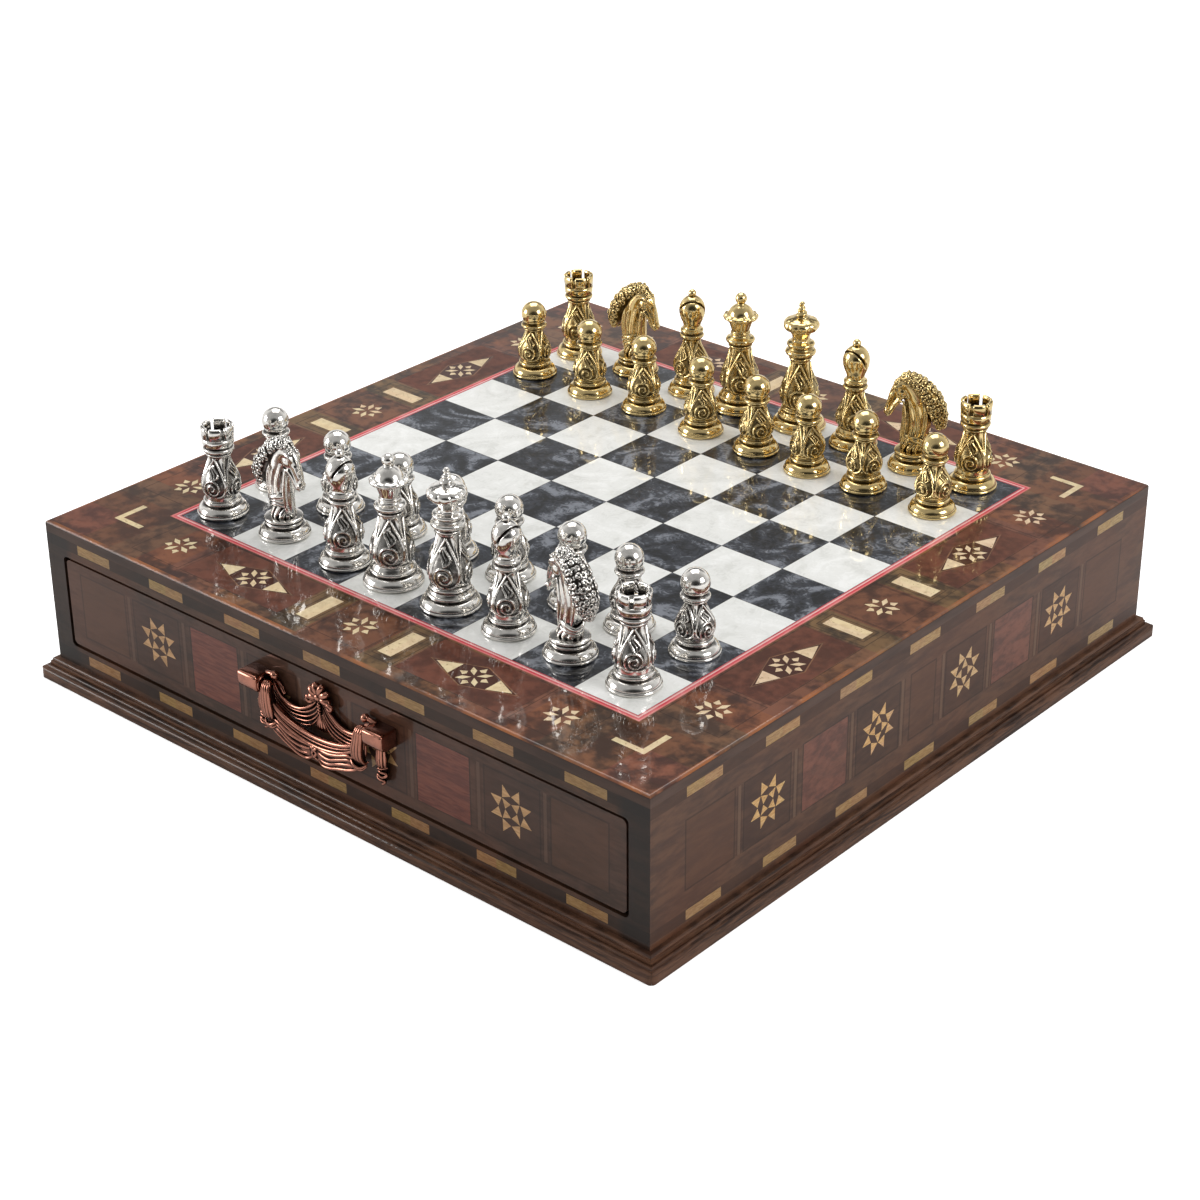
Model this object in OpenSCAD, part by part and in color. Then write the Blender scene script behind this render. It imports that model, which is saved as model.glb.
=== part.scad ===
// Chess box with two drawers, inlaid top and sides, drop handles and 32 chess pieces.
// Millimetres, +Z up. The origin is the middle of the underside; the front drawer opens towards -Y.

/* [Board] */
// Side of one playing square
square_size = 29; // [28:0.5:30]
// Width of the wooden border round the playing field
border_w = 36.5; // [36:0.5:38]
// Height of the box from the table to the playing field
box_h = 68.5; // [67:0.5:71]
// Thickness of the top panel
top_t = 4.5; // [4:0.5:5]
// Thickness of the tiles and veneers let into the surfaces
inlay_t = 0.8; // [0.6:0.1:1]
// Width of the coloured line round the playing field
stringing_w = 3; // [2.6:0.2:3.4]

/* [Cabinet] */
// Thickness of the side and end boards
wall_t = 9; // [8.5:0.5:9.5]
// Thickness of the bottom panel
bottom_t = 4; // [3:0.5:5]
// Thickness of the board between the drawers
partition_t = 8; // [7:0.5:9]
// Height of the plinth moulding
plinth_h = 8.5; // [8:0.5:9]
// How far the plinth stands out from the boards
plinth_out = 6.2; // [5.8:0.1:6.6]
// Height of the rail under a drawer, from the table
lower_rail_h = 17.2; // [16.8:0.2:17.6]
// Height of the rail over a drawer, from the playing field down
upper_rail_h = 12.2; // [11.8:0.2:12.6]

/* [Drawers] */
// Gap round a drawer face
drawer_gap = 1.2; // [1:0.1:1.4]
// Thickness of a drawer face
face_t = 9; // [8:0.5:10]
// Thickness of the drawer sides
tray_t = 6; // [5:0.5:7]
// Height of the drawer sides
tray_h = 32; // [30:1:33]
// Thickness of the cloth covered liner
lining_t = 2.4; // [2:0.2:3]

/* [Handles] */
// Distance between the two posts of a handle
handle_span = 64; // [62:1:66]
// Distance of the bail's pivot from the drawer face
pivot_out = 5; // [4.8:0.1:5.2]
// Drop from the pivot to the underside of the bail
bail_drop = 22.4; // [21.4:0.2:23]
// Height of the bail at its middle
bail_h = 10.6; // [10:0.2:11]
// Thickness of the bail
bail_t = 4.6; // [4.2:0.1:4.7]

/* [Chess pieces] */
// Height of a king; the other pieces keep their share of it
king_h = 54.8; // [52.8:0.2:55.8]
// Radius of a pawn's foot
pawn_foot = 9.5; // [9.2:0.1:9.8]
// Radius of the foot of a rook, knight or bishop
officer_foot = 10; // [9.7:0.1:10.3]
// Radius of the foot of a queen or king
royal_foot = 11.4; // [11:0.1:11.7]

/* [Hidden] */
$fn = 48;
field = 8 * square_size;                        // playing field
half = field / 2 + border_w;                    // middle to the outer face of the boards
inner = half - wall_t;                          // middle to the inner face of the boards
board_h = box_h - top_t;                        // height of the boards under the top
cut = 0.5;                                      // how far a cutting solid passes its surface
pocket = inlay_t + cut;                         // height of a solid that cuts the place of an inlay
glue = 0.05;                                    // glue line between solids of one node
chip_share = 0.94;                              // share of its place that an inlay chip fills

// Border pattern of the top, middle of the box outwards
border_line = half - 0.537 * border_w;          // middle line of the pattern
top_star_r = 6.9;
bar_x = 20.9;
lozenge_x = 56;
corner_star_x = 96.6;
bar_size = [6.4, 17.7];
lozenge_size = [42.6, 16.1];
veneer_size = [52, 0.69 * border_w];
arrow_tip = 17.9;                               // lozenge middle to the tip of an arrow head
arrow_base = 8.9;                               // lozenge middle to the base of an arrow head
arrow_half_w = 4;
corner_mark = border_line + 1;                  // outer edge of the corner angles
corner_arm = 14.3;
corner_w = 2.5;

// Pattern of the four walls
wall_star_r = 10.3;
wall_star_x = [27, 90.5];
wall_red_x = 58.5;
wall_red_size = [25.2, 27.2];
wall_middle_z = box_h - 31.4;
rail_bar_size = [18.6, 4];
rail_bar_step = 41.6;
upper_bar_z = box_h - 6.9;
lower_bar_z = (plinth_h + lower_rail_h) / 2 + 0.3;

// Drawer places, as in the front drawer
opening_w = 2 * inner - 0.4;
opening_h = box_h - upper_rail_h - lower_rail_h;
opening_z = lower_rail_h + opening_h / 2;
corner_r = 2;
face_set = 0.3;                                 // the face lies this far behind the frame
face_w = opening_w - 2 * drawer_gap;
face_h = opening_h - 2 * drawer_gap;
face_y = -half + face_set;                      // outside of the face
tray_y = face_y + face_t;                       // back of the face
tray_end = -partition_t / 2 - 4;                // back of the drawer
tray_x = face_w / 2;                            // outside of the drawer sides
tray_z = lower_rail_h + 0.3;                    // underside of the drawer
tray_floor_z = tray_z + 2.5;
tray_floor_t = 3;
groove = 2;
lining_z = tray_floor_z + tray_floor_t;
lining_h = tray_h - 10;
lining_x = tray_x - tray_t - 0.4;
lining_front = tray_y + 4;                      // leaves room for the screw heads
lining_back = tray_end - tray_t - 0.4;

// Handle, with the drawer face at y = 0, outwards +Y and the pivot at z = 0
pivot_z = box_h - 23.5;
post_x = handle_span / 2;
knuckle_w = 10;
knuckle_h = 7.6;
knuckle_out = 8.6;
knuckle_rise = 0.4;                             // middle of the knuckle over the pivot
pin_r = 1.3;
pin_bore_r = 1.38;                              // running fit of the bail's pin
pin_l = 4;
hub_r = 2.4;
hub_w = 4.6;
hub_gap = 0.4;
hub_x = post_x - knuckle_w / 2 - hub_gap - hub_w / 2;
swag_t = 2.2;
knot_z = 2.2;
knot_t = 3.4;
knot_back = 0.15;                               // the knot stands this far off the drawer face
screw_r = 1.95;
screw_bore_r = 2;
screw_head_r = 3.6;
screw_head_t = 2.2;
screw_reach = 3.1;                              // length of the screw in its post
tassel_top = -3;
tassel_end = -21.4;

// Chess pieces
drawn_scale = king_h / 54.8;                    // the outlines below are drawn for a king of 54.8
stand_gap = 0.1;                                // felt-thin gap under a piece
// Where the pieces of files a to h stand, from the middle of their squares
silver_officer_shift = [[-5, -1.3], [-2.2, 1.4], [3.3, -0.1], [-1.4, 1.1], [-1.2, 1.2], [-1.5, 1.2], [-1.9, 2], [-0.2, 0.5]];
silver_pawn_shift = [[-6.8, 0.6], [-1.9, 1.3], [1.4, 2.8], [0.5, 1.8], [-0.6, 3.2], [2.4, 2], [0.4, 2], [0.9, 2.9]];
gold_officer_shift = [[-5.4, 2.5], [-3.4, 4.2], [0, 3], [-3.1, 3.2], [-1.9, 4.8], [-2.6, 4.6], [-0.9, 2.9], [-1.8, 4]];
gold_pawn_shift = [[-5.5, 2.8], [-2.9, 2.9], [-3.4, 4.8], [0.1, 2.9], [-0.2, 3.3], [-2.1, 1.9], [-4.8, 4.2], [-0.7, 4.3]];
file_names = ["a", "b", "c", "d", "e", "f", "g", "h"];
officers = ["rook", "knight", "bishop", "queen", "king", "bishop", "knight", "rook"];
silver_heading = [0, 0, 0, 0, 0, 0, 170, 0];    // way that each officer faces, in degrees
gold_heading = [0, 5, 0, 0, 0, 0, 205, 0];

function officer_name(side, file) = str(side, "_", officers[file], "_", file_names[file]);
function pawn_name(side, file) = str(side, "_pawn_", file_names[file]);

box_nodes = ["left_side", "right_side", "front_frame", "rear_frame", "partition", "bottom_panel",
    "drawer_guides", "plinth_moulding", "top_panel", "light_squares", "dark_squares",
    "border_stringing", "maple_inlays", "rosewood_inlays"];
drawer_parts = ["drawer_face", "drawer_inlays", "drawer_tray", "drawer_lining", "handle_plate",
    "handle_bail", "handle_screws"];

wood = "#4a3024";
maple = "#d9c193";
rosewood = "#6b2f2a";
copper = "#8c5040";
silver = "#c4c4c6";
gold = "#c49a3c";

// ---------- shared shapes ----------

function polar(r, a) = [r * cos(a), r * sin(a)];

// Points of an arc round a centre, from angle a0 to angle a1
function arc(centre, r, a0, a1, steps = 6) =
    [for (k = [0:steps]) centre + polar(r, a0 + (a1 - a0) * k / steps)];

// Half-round bead of a turned outline, standing out from radius r
function bead(r, z, half_h, steps = 6) =
    [for (k = [0:steps]) let (a = -90 + 180 * k / steps) [r + half_h * cos(a), z + half_h * sin(a)]];

// Rectangle with rounded corners about the origin
function round_rect(w, h, r) = concat(
    arc([w / 2 - r, h / 2 - r], r, 0, 90),
    arc([r - w / 2, h / 2 - r], r, 90, 180),
    arc([r - w / 2, r - h / 2], r, 180, 270),
    arc([w / 2 - r, r - h / 2], r, 270, 360)
);

// One chip of an inlay, drawn a little smaller than its place so that dark lines part the chips
module chip(place) {
    middle = [for (p = place) 1] * place / len(place);
    polygon([for (p = place) middle + (p - middle) * chip_share]);
}

// Eight-pointed star of long diamonds and short kites, as on the top
module top_star(turn) {
    for (k = [0:3]) rotate(turn + 90 * k) {
        chip([polar(0.1, 0), polar(0.62, -17), polar(1, 0), polar(0.62, 17)] * top_star_r);
        rotate(45)
            chip([polar(0.5, 0), polar(0.66, -20), polar(1, 0), polar(0.66, 20)] * top_star_r);
    }
}

// Eight-pointed star of eight outer and four inner triangles, as on the walls
module wall_star(turn) {
    notch = 0.563;
    heart = 0.265;
    for (k = [0:7]) rotate(45 * k)
        chip([polar(notch, 0), polar(1, 22.5), polar(notch, 45)] * wall_star_r);
    for (k = [0:3]) rotate(turn + 90 * k)
        chip([polar(heart, -45), polar(notch, 0), polar(heart, 45)] * wall_star_r);
}

// Both ways along a wall or border from its middle
module both_ways(x) {
    translate([x, 0]) children();
    mirror([1, 0]) translate([x, 0]) children();
}

// ---------- inlay patterns, flat ----------

// Maple chips of one side of the top border, along X at the -Y side
module border_maple() {
    translate([0, -border_line]) {
        top_star(22.5);
        both_ways(bar_x) square(bar_size, center = true);
        both_ways(corner_star_x) top_star(22.5);
        both_ways(lozenge_x) {
            top_star(45);
            for (turn = [0, 180]) rotate(turn)
                polygon([[arrow_tip, 0], [arrow_base, arrow_half_w], [arrow_base, -arrow_half_w]]);
        }
    }
    translate([corner_mark, -corner_mark]) polygon([
        [0, 0], [0, corner_arm], [-corner_w, corner_arm],
        [-corner_w, corner_w], [-corner_arm, corner_w], [-corner_arm, 0]
    ]);
}

// Red veneers of one side of the top border, each with a lozenge left open
module border_red() {
    translate([0, -border_line]) both_ways(lozenge_x) difference() {
        square(veneer_size, center = true);
        polygon([
            [lozenge_size.x / 2, 0], [0, lozenge_size.y / 2],
            [-lozenge_size.x / 2, 0], [0, -lozenge_size.y / 2]
        ]);
    }
}

module rail_bars() {
    for (k = [-3:3], z = [lower_bar_z, upper_bar_z])
        translate([k * rail_bar_step, z]) square(rail_bar_size, center = true);
}

module wall_stars() {
    translate([0, wall_middle_z]) {
        both_ways(wall_star_x[0]) wall_star(0);
        both_ways(wall_star_x[1]) wall_star(45);
    }
}

module wall_reds() {
    translate([0, wall_middle_z]) both_ways(wall_red_x) square(wall_red_size, center = true);
}

// A pattern let into the top surface, once for each side of the border
module on_top(depth = inlay_t) {
    translate([0, 0, box_h - inlay_t]) linear_extrude(depth) children();
}

module on_four_borders(depth = inlay_t) {
    for (turn = [0:90:270]) rotate([0, 0, turn]) on_top(depth) children();
}

// A pattern let into a wall; turn 0 is the front, 90 the right side
module on_wall(turn, set = 0, depth = inlay_t) {
    rotate([0, 0, turn]) translate([0, -half + set + inlay_t, 0]) rotate([90, 0, 0])
        linear_extrude(depth) children();
}

// ---------- cabinet ----------

// Board with mitred ends, outer face at -Y
module mitred_board() {
    linear_extrude(board_h)
        polygon([[-half, -half], [half, -half], [inner, -inner], [-inner, -inner]]);
}

module side_board(turn) {
    color(wood) difference() {
        rotate([0, 0, turn]) mitred_board();
        on_wall(turn, 0, pocket) {
            rail_bars();
            wall_stars();
            wall_reds();
        }
    }
}

module end_frame(turn) {
    color(wood) difference() {
        rotate([0, 0, turn]) difference() {
            mitred_board();
            translate([0, -inner + cut, opening_z]) rotate([90, 0, 0])
                linear_extrude(wall_t + 2 * cut) polygon(round_rect(opening_w, opening_h, corner_r));
        }
        on_wall(turn, 0, pocket) rail_bars();
    }
}

module left_side() { side_board(270); }
module right_side() { side_board(90); }
module front_frame() { end_frame(0); }
module rear_frame() { end_frame(180); }

module partition() {
    color(wood) translate([-inner, -partition_t / 2, bottom_t])
        cube([2 * inner, partition_t, board_h - bottom_t]);
}

module bottom_panel() {
    color(wood) translate([-inner, -inner, 0]) cube([2 * inner, 2 * inner, bottom_t]);
}

module drawer_guides() {
    guide_w = 12;
    guide_l = inner - partition_t / 2;
    color(wood) for (turn = [0, 180]) rotate([0, 0, turn])
        for (x = [-inner, inner - guide_w])
            translate([x, -inner, bottom_t]) cube([guide_w, guide_l, lower_rail_h - bottom_t]);
}

// Section of the plinth from the boards outwards: ledge, bead, groove, bead and round nosing
module plinth_section() {
    nose_r = 1.7;
    nose_z = plinth_h * 0.56;
    foot_r = 0.6;
    polygon(concat(
        [[0, 0], [plinth_out - foot_r, 0]],
        arc([plinth_out - foot_r, foot_r], foot_r, -90, 0, 3),
        arc([plinth_out - nose_r, nose_z - nose_r], nose_r, 0, 90),
        arc([plinth_out - nose_r - 1, nose_z + 0.1], 0.75, 0, 120, 5),
        [[plinth_out - nose_r - 1.7, nose_z + 0.4], [plinth_out - nose_r - 1.7, plinth_h - 1.5]],
        arc([1.3, plinth_h - 1], 1, -20, 90, 5),
        [[0, plinth_h]]
    ));
}

module plinth_moulding() {
    reach = half + plinth_out;
    plinth_corner_r = 3.2;
    color(wood) for (turn = [0:90:270]) rotate([0, 0, turn]) intersection() {
        translate([0, -half, 0]) rotate([90, 0, 90])
            linear_extrude(2 * reach, center = true) mirror([1, 0]) plinth_section();
        linear_extrude(plinth_h + cut)
            polygon([[0, -glue], [-reach - cut, -reach - cut - glue], [reach + cut, -reach - cut - glue]]);
        linear_extrude(plinth_h + cut) polygon(round_rect(2 * reach, 2 * reach, plinth_corner_r));
    }
}

// Panel with its upper edge rounded along all four sides
module top_slab() {
    edge_r = 1.2;
    section = concat(
        [[-half, 0], [half, 0]],
        arc([half - edge_r, top_t - edge_r], edge_r, 0, 90),
        arc([edge_r - half, top_t - edge_r], edge_r, 90, 180)
    );
    translate([0, 0, board_h]) intersection() {
        rotate([90, 0, 0]) linear_extrude(2 * half, center = true) polygon(section);
        rotate([90, 0, 90]) linear_extrude(2 * half, center = true) polygon(section);
    }
}

module top_panel() {
    recess = field + 2 * stringing_w;
    color(wood) difference() {
        top_slab();
        on_top(pocket) square(recess, center = true);
        on_four_borders(pocket) border_maple();
        on_four_borders(pocket) border_red();
    }
}

module squares(odd) {
    tile = square_size - 2 * glue;
    for (file = [0:7], rank = [0:7])
        if ((file + rank) % 2 == odd)
            translate([(file - 3.5) * square_size, (rank - 3.5) * square_size, box_h - inlay_t / 2])
                cube([tile, tile, inlay_t], center = true);
}

module light_squares() { color("#e4e2dc") squares(1); }
module dark_squares() { color("#33363b") squares(0); }

module border_stringing() {
    color("#c9474f") on_top() difference() {
        square(field + 2 * stringing_w, center = true);
        square(field, center = true);
    }
}

module maple_inlays() {
    color(maple) {
        on_four_borders() border_maple();
        for (turn = [0:90:270]) on_wall(turn) rail_bars();
        for (turn = [90, 270]) on_wall(turn) wall_stars();
    }
}

module rosewood_inlays() {
    color(rosewood) {
        on_four_borders() border_red();
        for (turn = [90, 270]) on_wall(turn) wall_reds();
    }
}

// ---------- drawers, drawn as the front one ----------

module at_place(place) {
    rotate([0, 0, place == "front" ? 0 : 180]) children();
}

// Handle frame: drawer face at y = 0, outwards +Y, pivot at z = 0
module at_handle() {
    translate([0, face_y, pivot_z]) rotate([0, 0, 180]) children();
}

module rod(r, l, steps = 48) {
    rotate([90, 0, 0]) cylinder(r = r, h = l, $fn = steps);
}

module both_posts() {
    for (side = [-1, 1]) translate([side * post_x, 0, 0]) children();
}

// Holes of the two handle screws through the face
module screw_holes() {
    at_handle() both_posts() translate([0, cut, 0]) rod(screw_bore_r, face_t + 2 * cut);
}

module drawer_face() {
    color(wood) difference() {
        translate([0, tray_y, opening_z]) rotate([90, 0, 0])
            linear_extrude(face_t) polygon(round_rect(face_w, face_h, corner_r));
        on_wall(0, face_set, pocket) {
            wall_stars();
            wall_reds();
        }
        screw_holes();
    }
}

module drawer_inlays() {
    color(maple) difference() {
        on_wall(0, face_set) wall_stars();
        screw_holes();
    }
    color(rosewood) on_wall(0, face_set) wall_reds();
}

module drawer_tray() {
    side_l = tray_end - tray_y;
    slot_x = tray_x - tray_t + groove;
    color("#8a6a48") {
        difference() {
            union() {
                for (x = [-tray_x, tray_x - tray_t])
                    translate([x, tray_y, tray_z]) cube([tray_t, side_l, tray_h]);
                translate([glue + tray_t - tray_x, tray_end - tray_t, tray_z])
                    cube([2 * (tray_x - tray_t - glue), tray_t, tray_h]);
            }
            translate([-slot_x, tray_y - cut, tray_floor_z - glue])
                cube([2 * slot_x, side_l - tray_t + groove + cut, tray_floor_t + 2 * glue]);
        }
        translate([glue - slot_x, tray_y + glue, tray_floor_z])
            cube([2 * (slot_x - glue), side_l - tray_t + groove - 2 * glue, tray_floor_t]);
    }
}

module drawer_lining() {
    length = lining_back - lining_front;
    cell_w = lining_x - 1.5 * lining_t;
    color("#5d2430") translate([-lining_x, lining_front, lining_z]) difference() {
        cube([2 * lining_x, length, lining_h]);
        for (x = [lining_t, 2 * lining_x - lining_t - cell_w])
            translate([x, lining_t, lining_t])
                cube([cell_w, length - 2 * lining_t, lining_h]);
    }
}

// Arm over the bail's pin: an upright block with a rounded front and a blind bore on its inner side
module knuckle(side) {
    front_r = knuckle_h / 2;
    difference() {
        translate([0, 0, knuckle_rise]) rotate([90, 0, 90]) linear_extrude(knuckle_w, center = true)
            polygon(concat(
                [[0, front_r], [0, -front_r]],
                arc([knuckle_out - front_r, 0], front_r, -90, 90, 12)
            ));
        translate([side * -cut, pivot_out, 0]) rotate([0, 90 * -side, 0])
            cylinder(r = pin_bore_r, h = knuckle_w);
        translate([0, -cut, 0]) rotate([-90, 0, 0])
            cylinder(r = screw_bore_r, h = screw_reach + 0.2 + cut);
    }
}

// Half of the flat swag between the posts, from the middle to the knuckle
module swag_half() {
    end_x = post_x - knuckle_w / 2 + cut;
    polygon([
        [-cut, 1.4], [2.2, -0.8], [7.5, -3.7], [12.8, -5.4], [18.8, -5.4], [23, -3.4], [end_x, -0.6],
        [end_x, -3.8], [23, -8.2], [18, -10.9], [13, -11.9], [7.4, -11], [-cut, -9.8]
    ]);
}

// Palette-shaped knot of five lobes over the middle of the swag
module knot() {
    lobe_r = 2.4;
    lobe_out = 4.2;
    circle(r = 3, $fn = 32);
    for (turn = [-104:52:104]) rotate(turn) translate([0, lobe_out]) circle(r = lobe_r, $fn = 32);
}

module handle_tassel() {
    length = tassel_top - tassel_end;
    translate([0, 2.4, tassel_end]) cylinder(r1 = 2.3, r2 = 1.6, h = length + 1);
}

module handle_plate() {
    color(copper) at_handle() {
        for (side = [-1, 1]) translate([side * post_x, 0, 0]) {
            knuckle(side);
            translate([side * -2.2, 0, 0]) handle_tassel();
        }
        rotate([90, 0, 180]) linear_extrude(swag_t) for (side = [0, 1]) mirror([side, 0]) swag_half();
        rotate([90, 0, 180]) translate([0, knot_z, knot_back]) linear_extrude(knot_t - knot_back)
            knot();
        translate([0, 2.4, -11.6]) cylinder(r1 = 2.1, r2 = 1.2, h = 10);
    }
}

// Edge of the bail as seen from the front: a deep curve through both hubs, flat at the bottom
function bail_edge(half_w, depth, power, steps = 24) =
    [for (k = [0:steps]) let (
        t = cos(180 * k / steps),
        share = 1 - pow(abs(t), power)
    ) [half_w * t, -depth * sqrt(share)]];

module handle_bail() {
    color(copper) at_handle() translate([0, pivot_out, 0]) {
        rotate([90, 0, 0]) linear_extrude(bail_t, center = true) difference() {
            polygon(bail_edge(hub_x + hub_w / 2, bail_drop, 3));
            polygon(concat([[0, cut]], bail_edge(hub_x - hub_w / 2, bail_drop - bail_h, 4)));
        }
        for (side = [-1, 1]) translate([side * hub_x, 0, 0]) rotate([0, 90 * side, 0]) {
            cylinder(r = hub_r, h = hub_w, center = true);
            cylinder(r = pin_r, h = hub_w / 2 + hub_gap + pin_l);
        }
    }
}

module handle_screws() {
    color("#b8b8b8") at_handle() both_posts() {
        translate([0, screw_reach, 0]) rod(screw_r, face_t + screw_reach);
        translate([0, -face_t, 0]) rod(screw_head_r, screw_head_t);
    }
}

// ---------- chess pieces ----------

// Turned foot: lip, rim, hollow and two rings. Its outline starts at the axis and ends below the body.
function foot(radius) = let (r = radius / drawn_scale) concat(
    [[0, 0], [r - 1, 0], [r - 0.6, 0.6]],
    arc([r - 1.4, 2.2], 1.4, -45, 90),
    [[r - 2.1, 4.2], [r - 2.6, 5]],
    bead(r - 3.3, 6.1, 0.7),
    [[r - 3.5, 7.1]]
);

// Pear-shaped body from z0 with radius r0 to the neck z1 with radius r1, widest at a quarter of it
function pear(z0, z1, r0, widest, r1, steps = 12) =
    [for (k = [0:steps]) let (
        t = k / steps,
        rise = (0.25 - t) / 0.25,
        fall = (t - 0.25) / 0.75,
        r = t < 0.25 ? widest - (widest - r0) * rise * rise
            : r1 + (widest - r1) * (0.5 + 0.5 * cos(180 * fall))
    ) [r, z0 + (z1 - z0) * t]];

// Upper part of a ball or dome from angle a0 up to the axis
function dome(z, r, a0, steps = 8, stretch = 1) =
    [for (k = [0:steps]) let (a = a0 + (90 - a0) * k / steps) [r * cos(a), z + stretch * r * sin(a)]];

module turned(outline) {
    rotate_extrude() polygon(outline);
}

module pawn() {
    turned(concat(
        foot(pawn_foot),
        pear(7.4, 20.4, 6.2, 7.1, 3.7),
        bead(4.1, 21, 0.45, 4),
        [[3.9, 21.6]],
        bead(4.6, 22.6, 0.85),
        dome(27.4, 5.3, -45, 12)
    ));
}

module rook() {
    wall = 1.5;
    notch_w = 2;
    difference() {
        turned(concat(
            foot(officer_foot),
            pear(8, 24.4, 6.4, 7.6, 4.2),
            bead(4.5, 25.2, 0.6, 4),
            [[4.5, 26]],
            bead(5.1, 27.1, 0.95),
            [[5.2, 28.2], [5.9, 29], [6.1, 32], [6.3, 36.8], [6.3 - wall, 36.8], [6.3 - wall, 32.4], [0, 32.4]]
        ));
        for (turn = [0:60:120]) rotate([0, 0, turn + 20])
            translate([0, 0, 35.2]) cube([20, notch_w, 3.6], center = true);
    }
}

module bishop() {
    slot_w = 0.9;
    difference() {
        turned(concat(
            foot(officer_foot),
            pear(8, 24.2, 6.4, 7.6, 3.6),
            bead(4.2, 25.8, 0.9),
            [[3.9, 27]],
            bead(4.2, 28.1, 0.7),
            [[3.6, 29.2], [3.7, 30.6], [4.6, 32.8], [5.3, 35]],
            [for (a = [0:12:72]) [5.5 * cos(a), 37.2 + 6.2 * sin(a)]],
            [[1.1, 43.2]],
            dome(44.3, 1.75, -48)
        ));
        translate([3.4, 0, 40]) rotate([0, 32, 0]) cube([slot_w, 20, 8], center = true);
    }
}

module queen() {
    turned(concat(
        foot(royal_foot),
        [[7.2, 7.6]],
        pear(8.2, 27.4, 7, 8.3, 4.5),
        bead(4.5, 28.4, 0.5, 4),
        [[4.2, 29.3]],
        bead(4.9, 30.8, 1.2),
        [[3.9, 32.4], [3.7, 33.2]],
        bead(3.7, 33.9, 0.45, 4),
        [[3.8, 35], [4.6, 37.6], [5.3, 39.6]],
        bead(6.5, 41, 0.95),
        [[5.3, 42.3], [4.9, 43.8], [3.9, 45.4], [2.6, 46.3]],
        dome(48.5, 2.7, -40)
    ));
}

module king() {
    turned(concat(
        foot(royal_foot),
        bead(6.9, 8.2, 0.6, 4),
        pear(9.2, 29.4, 6.7, 8.2, 4.2),
        bead(4.3, 30.6, 0.5, 4),
        [[4.4, 31.8]],
        bead(5.2, 33.2, 1.2),
        [[4.8, 35]],
        bead(4.9, 36.6, 0.9),
        [[3.7, 37.9], [3.6, 39.4], [4.6, 41.8]],
        bead(5.5, 45.1, 2.2, 8),
        [[3.6, 47.7], [2, 48]],
        bead(1.6, 49, 0.9, 4),
        bead(1.5, 50.9, 1, 4),
        bead(1.2, 52.6, 0.8, 4),
        [[0.8, 53.4], [1.3, 54.1], [0.8, 54.8], [0, 54.8]]
    ));
}

// Horse's head facing +X: its side outline cut by its outline from the front
module knight() {
    turned(concat(
        foot(officer_foot),
        [[6.6, 7.2], [6.6, 7.9], [0, 7.9]]
    ));
    intersection() {
        rotate([90, 0, 0]) linear_extrude(14, center = true) polygon([
            [-5, 7], [5, 7], [5.2, 12], [4.2, 17], [3.9, 23], [5, 27], [7.4, 25.6], [10.2, 22.4],
            [12.2, 22.8], [12.8, 25.4], [11.2, 30.4], [8.8, 36], [6.2, 39.2], [5.4, 41], [3.6, 39.8],
            [-0.6, 40.6], [-6, 38.4], [-10.4, 33.8], [-12.8, 28], [-13.8, 22], [-12.2, 18.4],
            [-7.4, 16.2], [-5.4, 11]
        ]);
        rotate([90, 0, 90]) linear_extrude(28, center = true) polygon([
            [-4.6, 7], [4.6, 7], [3.8, 12], [4.2, 20], [4.6, 28], [3.8, 36], [2.2, 41],
            [-2.2, 41], [-3.8, 36], [-4.6, 28], [-4.2, 20], [-3.8, 12]
        ]);
    }
}

module officer(kind) {
    if (kind == "rook") rook();
    if (kind == "knight") knight();
    if (kind == "bishop") bishop();
    if (kind == "queen") queen();
    if (kind == "king") king();
}

// Puts a piece on its square; rank 0 is the nearest to the front drawer
module on_square(file, rank, shift, heading) {
    translate([(file - 3.5) * square_size + shift.x, (rank - 3.5) * square_size + shift.y, box_h + stand_gap])
        rotate([0, 0, heading]) scale(drawn_scale) children();
}

module silver_pawn(file) { color(silver) on_square(file, 1, silver_pawn_shift[file], 0) pawn(); }
module gold_pawn(file) { color(gold) on_square(file, 6, gold_pawn_shift[file], 0) pawn(); }
module silver_officer(file) {
    color(silver) on_square(file, 0, silver_officer_shift[file], silver_heading[file]) officer(officers[file]);
}
module gold_officer(file) {
    color(gold) on_square(file, 7, gold_officer_shift[file], gold_heading[file]) officer(officers[file]);
}

// ---------- the parts ----------

left_side();
right_side();
front_frame();
rear_frame();
partition();
bottom_panel();
drawer_guides();
plinth_moulding();
top_panel();
light_squares();
dark_squares();
border_stringing();
maple_inlays();
rosewood_inlays();

for (place = ["front", "rear"]) at_place(place) {
    drawer_face();
    drawer_inlays();
    drawer_tray();
    drawer_lining();
    handle_plate();
    handle_bail();
    handle_screws();
}

for (file = [0:7]) {
    silver_pawn(file);
    gold_pawn(file);
    silver_officer(file);
    gold_officer(file);
}
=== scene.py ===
import logging
import math
from dataclasses import dataclass
from enum import Enum

import bmesh
import bpy
from mathutils import Matrix, Vector
from mathutils.bvhtree import BVHTree


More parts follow.
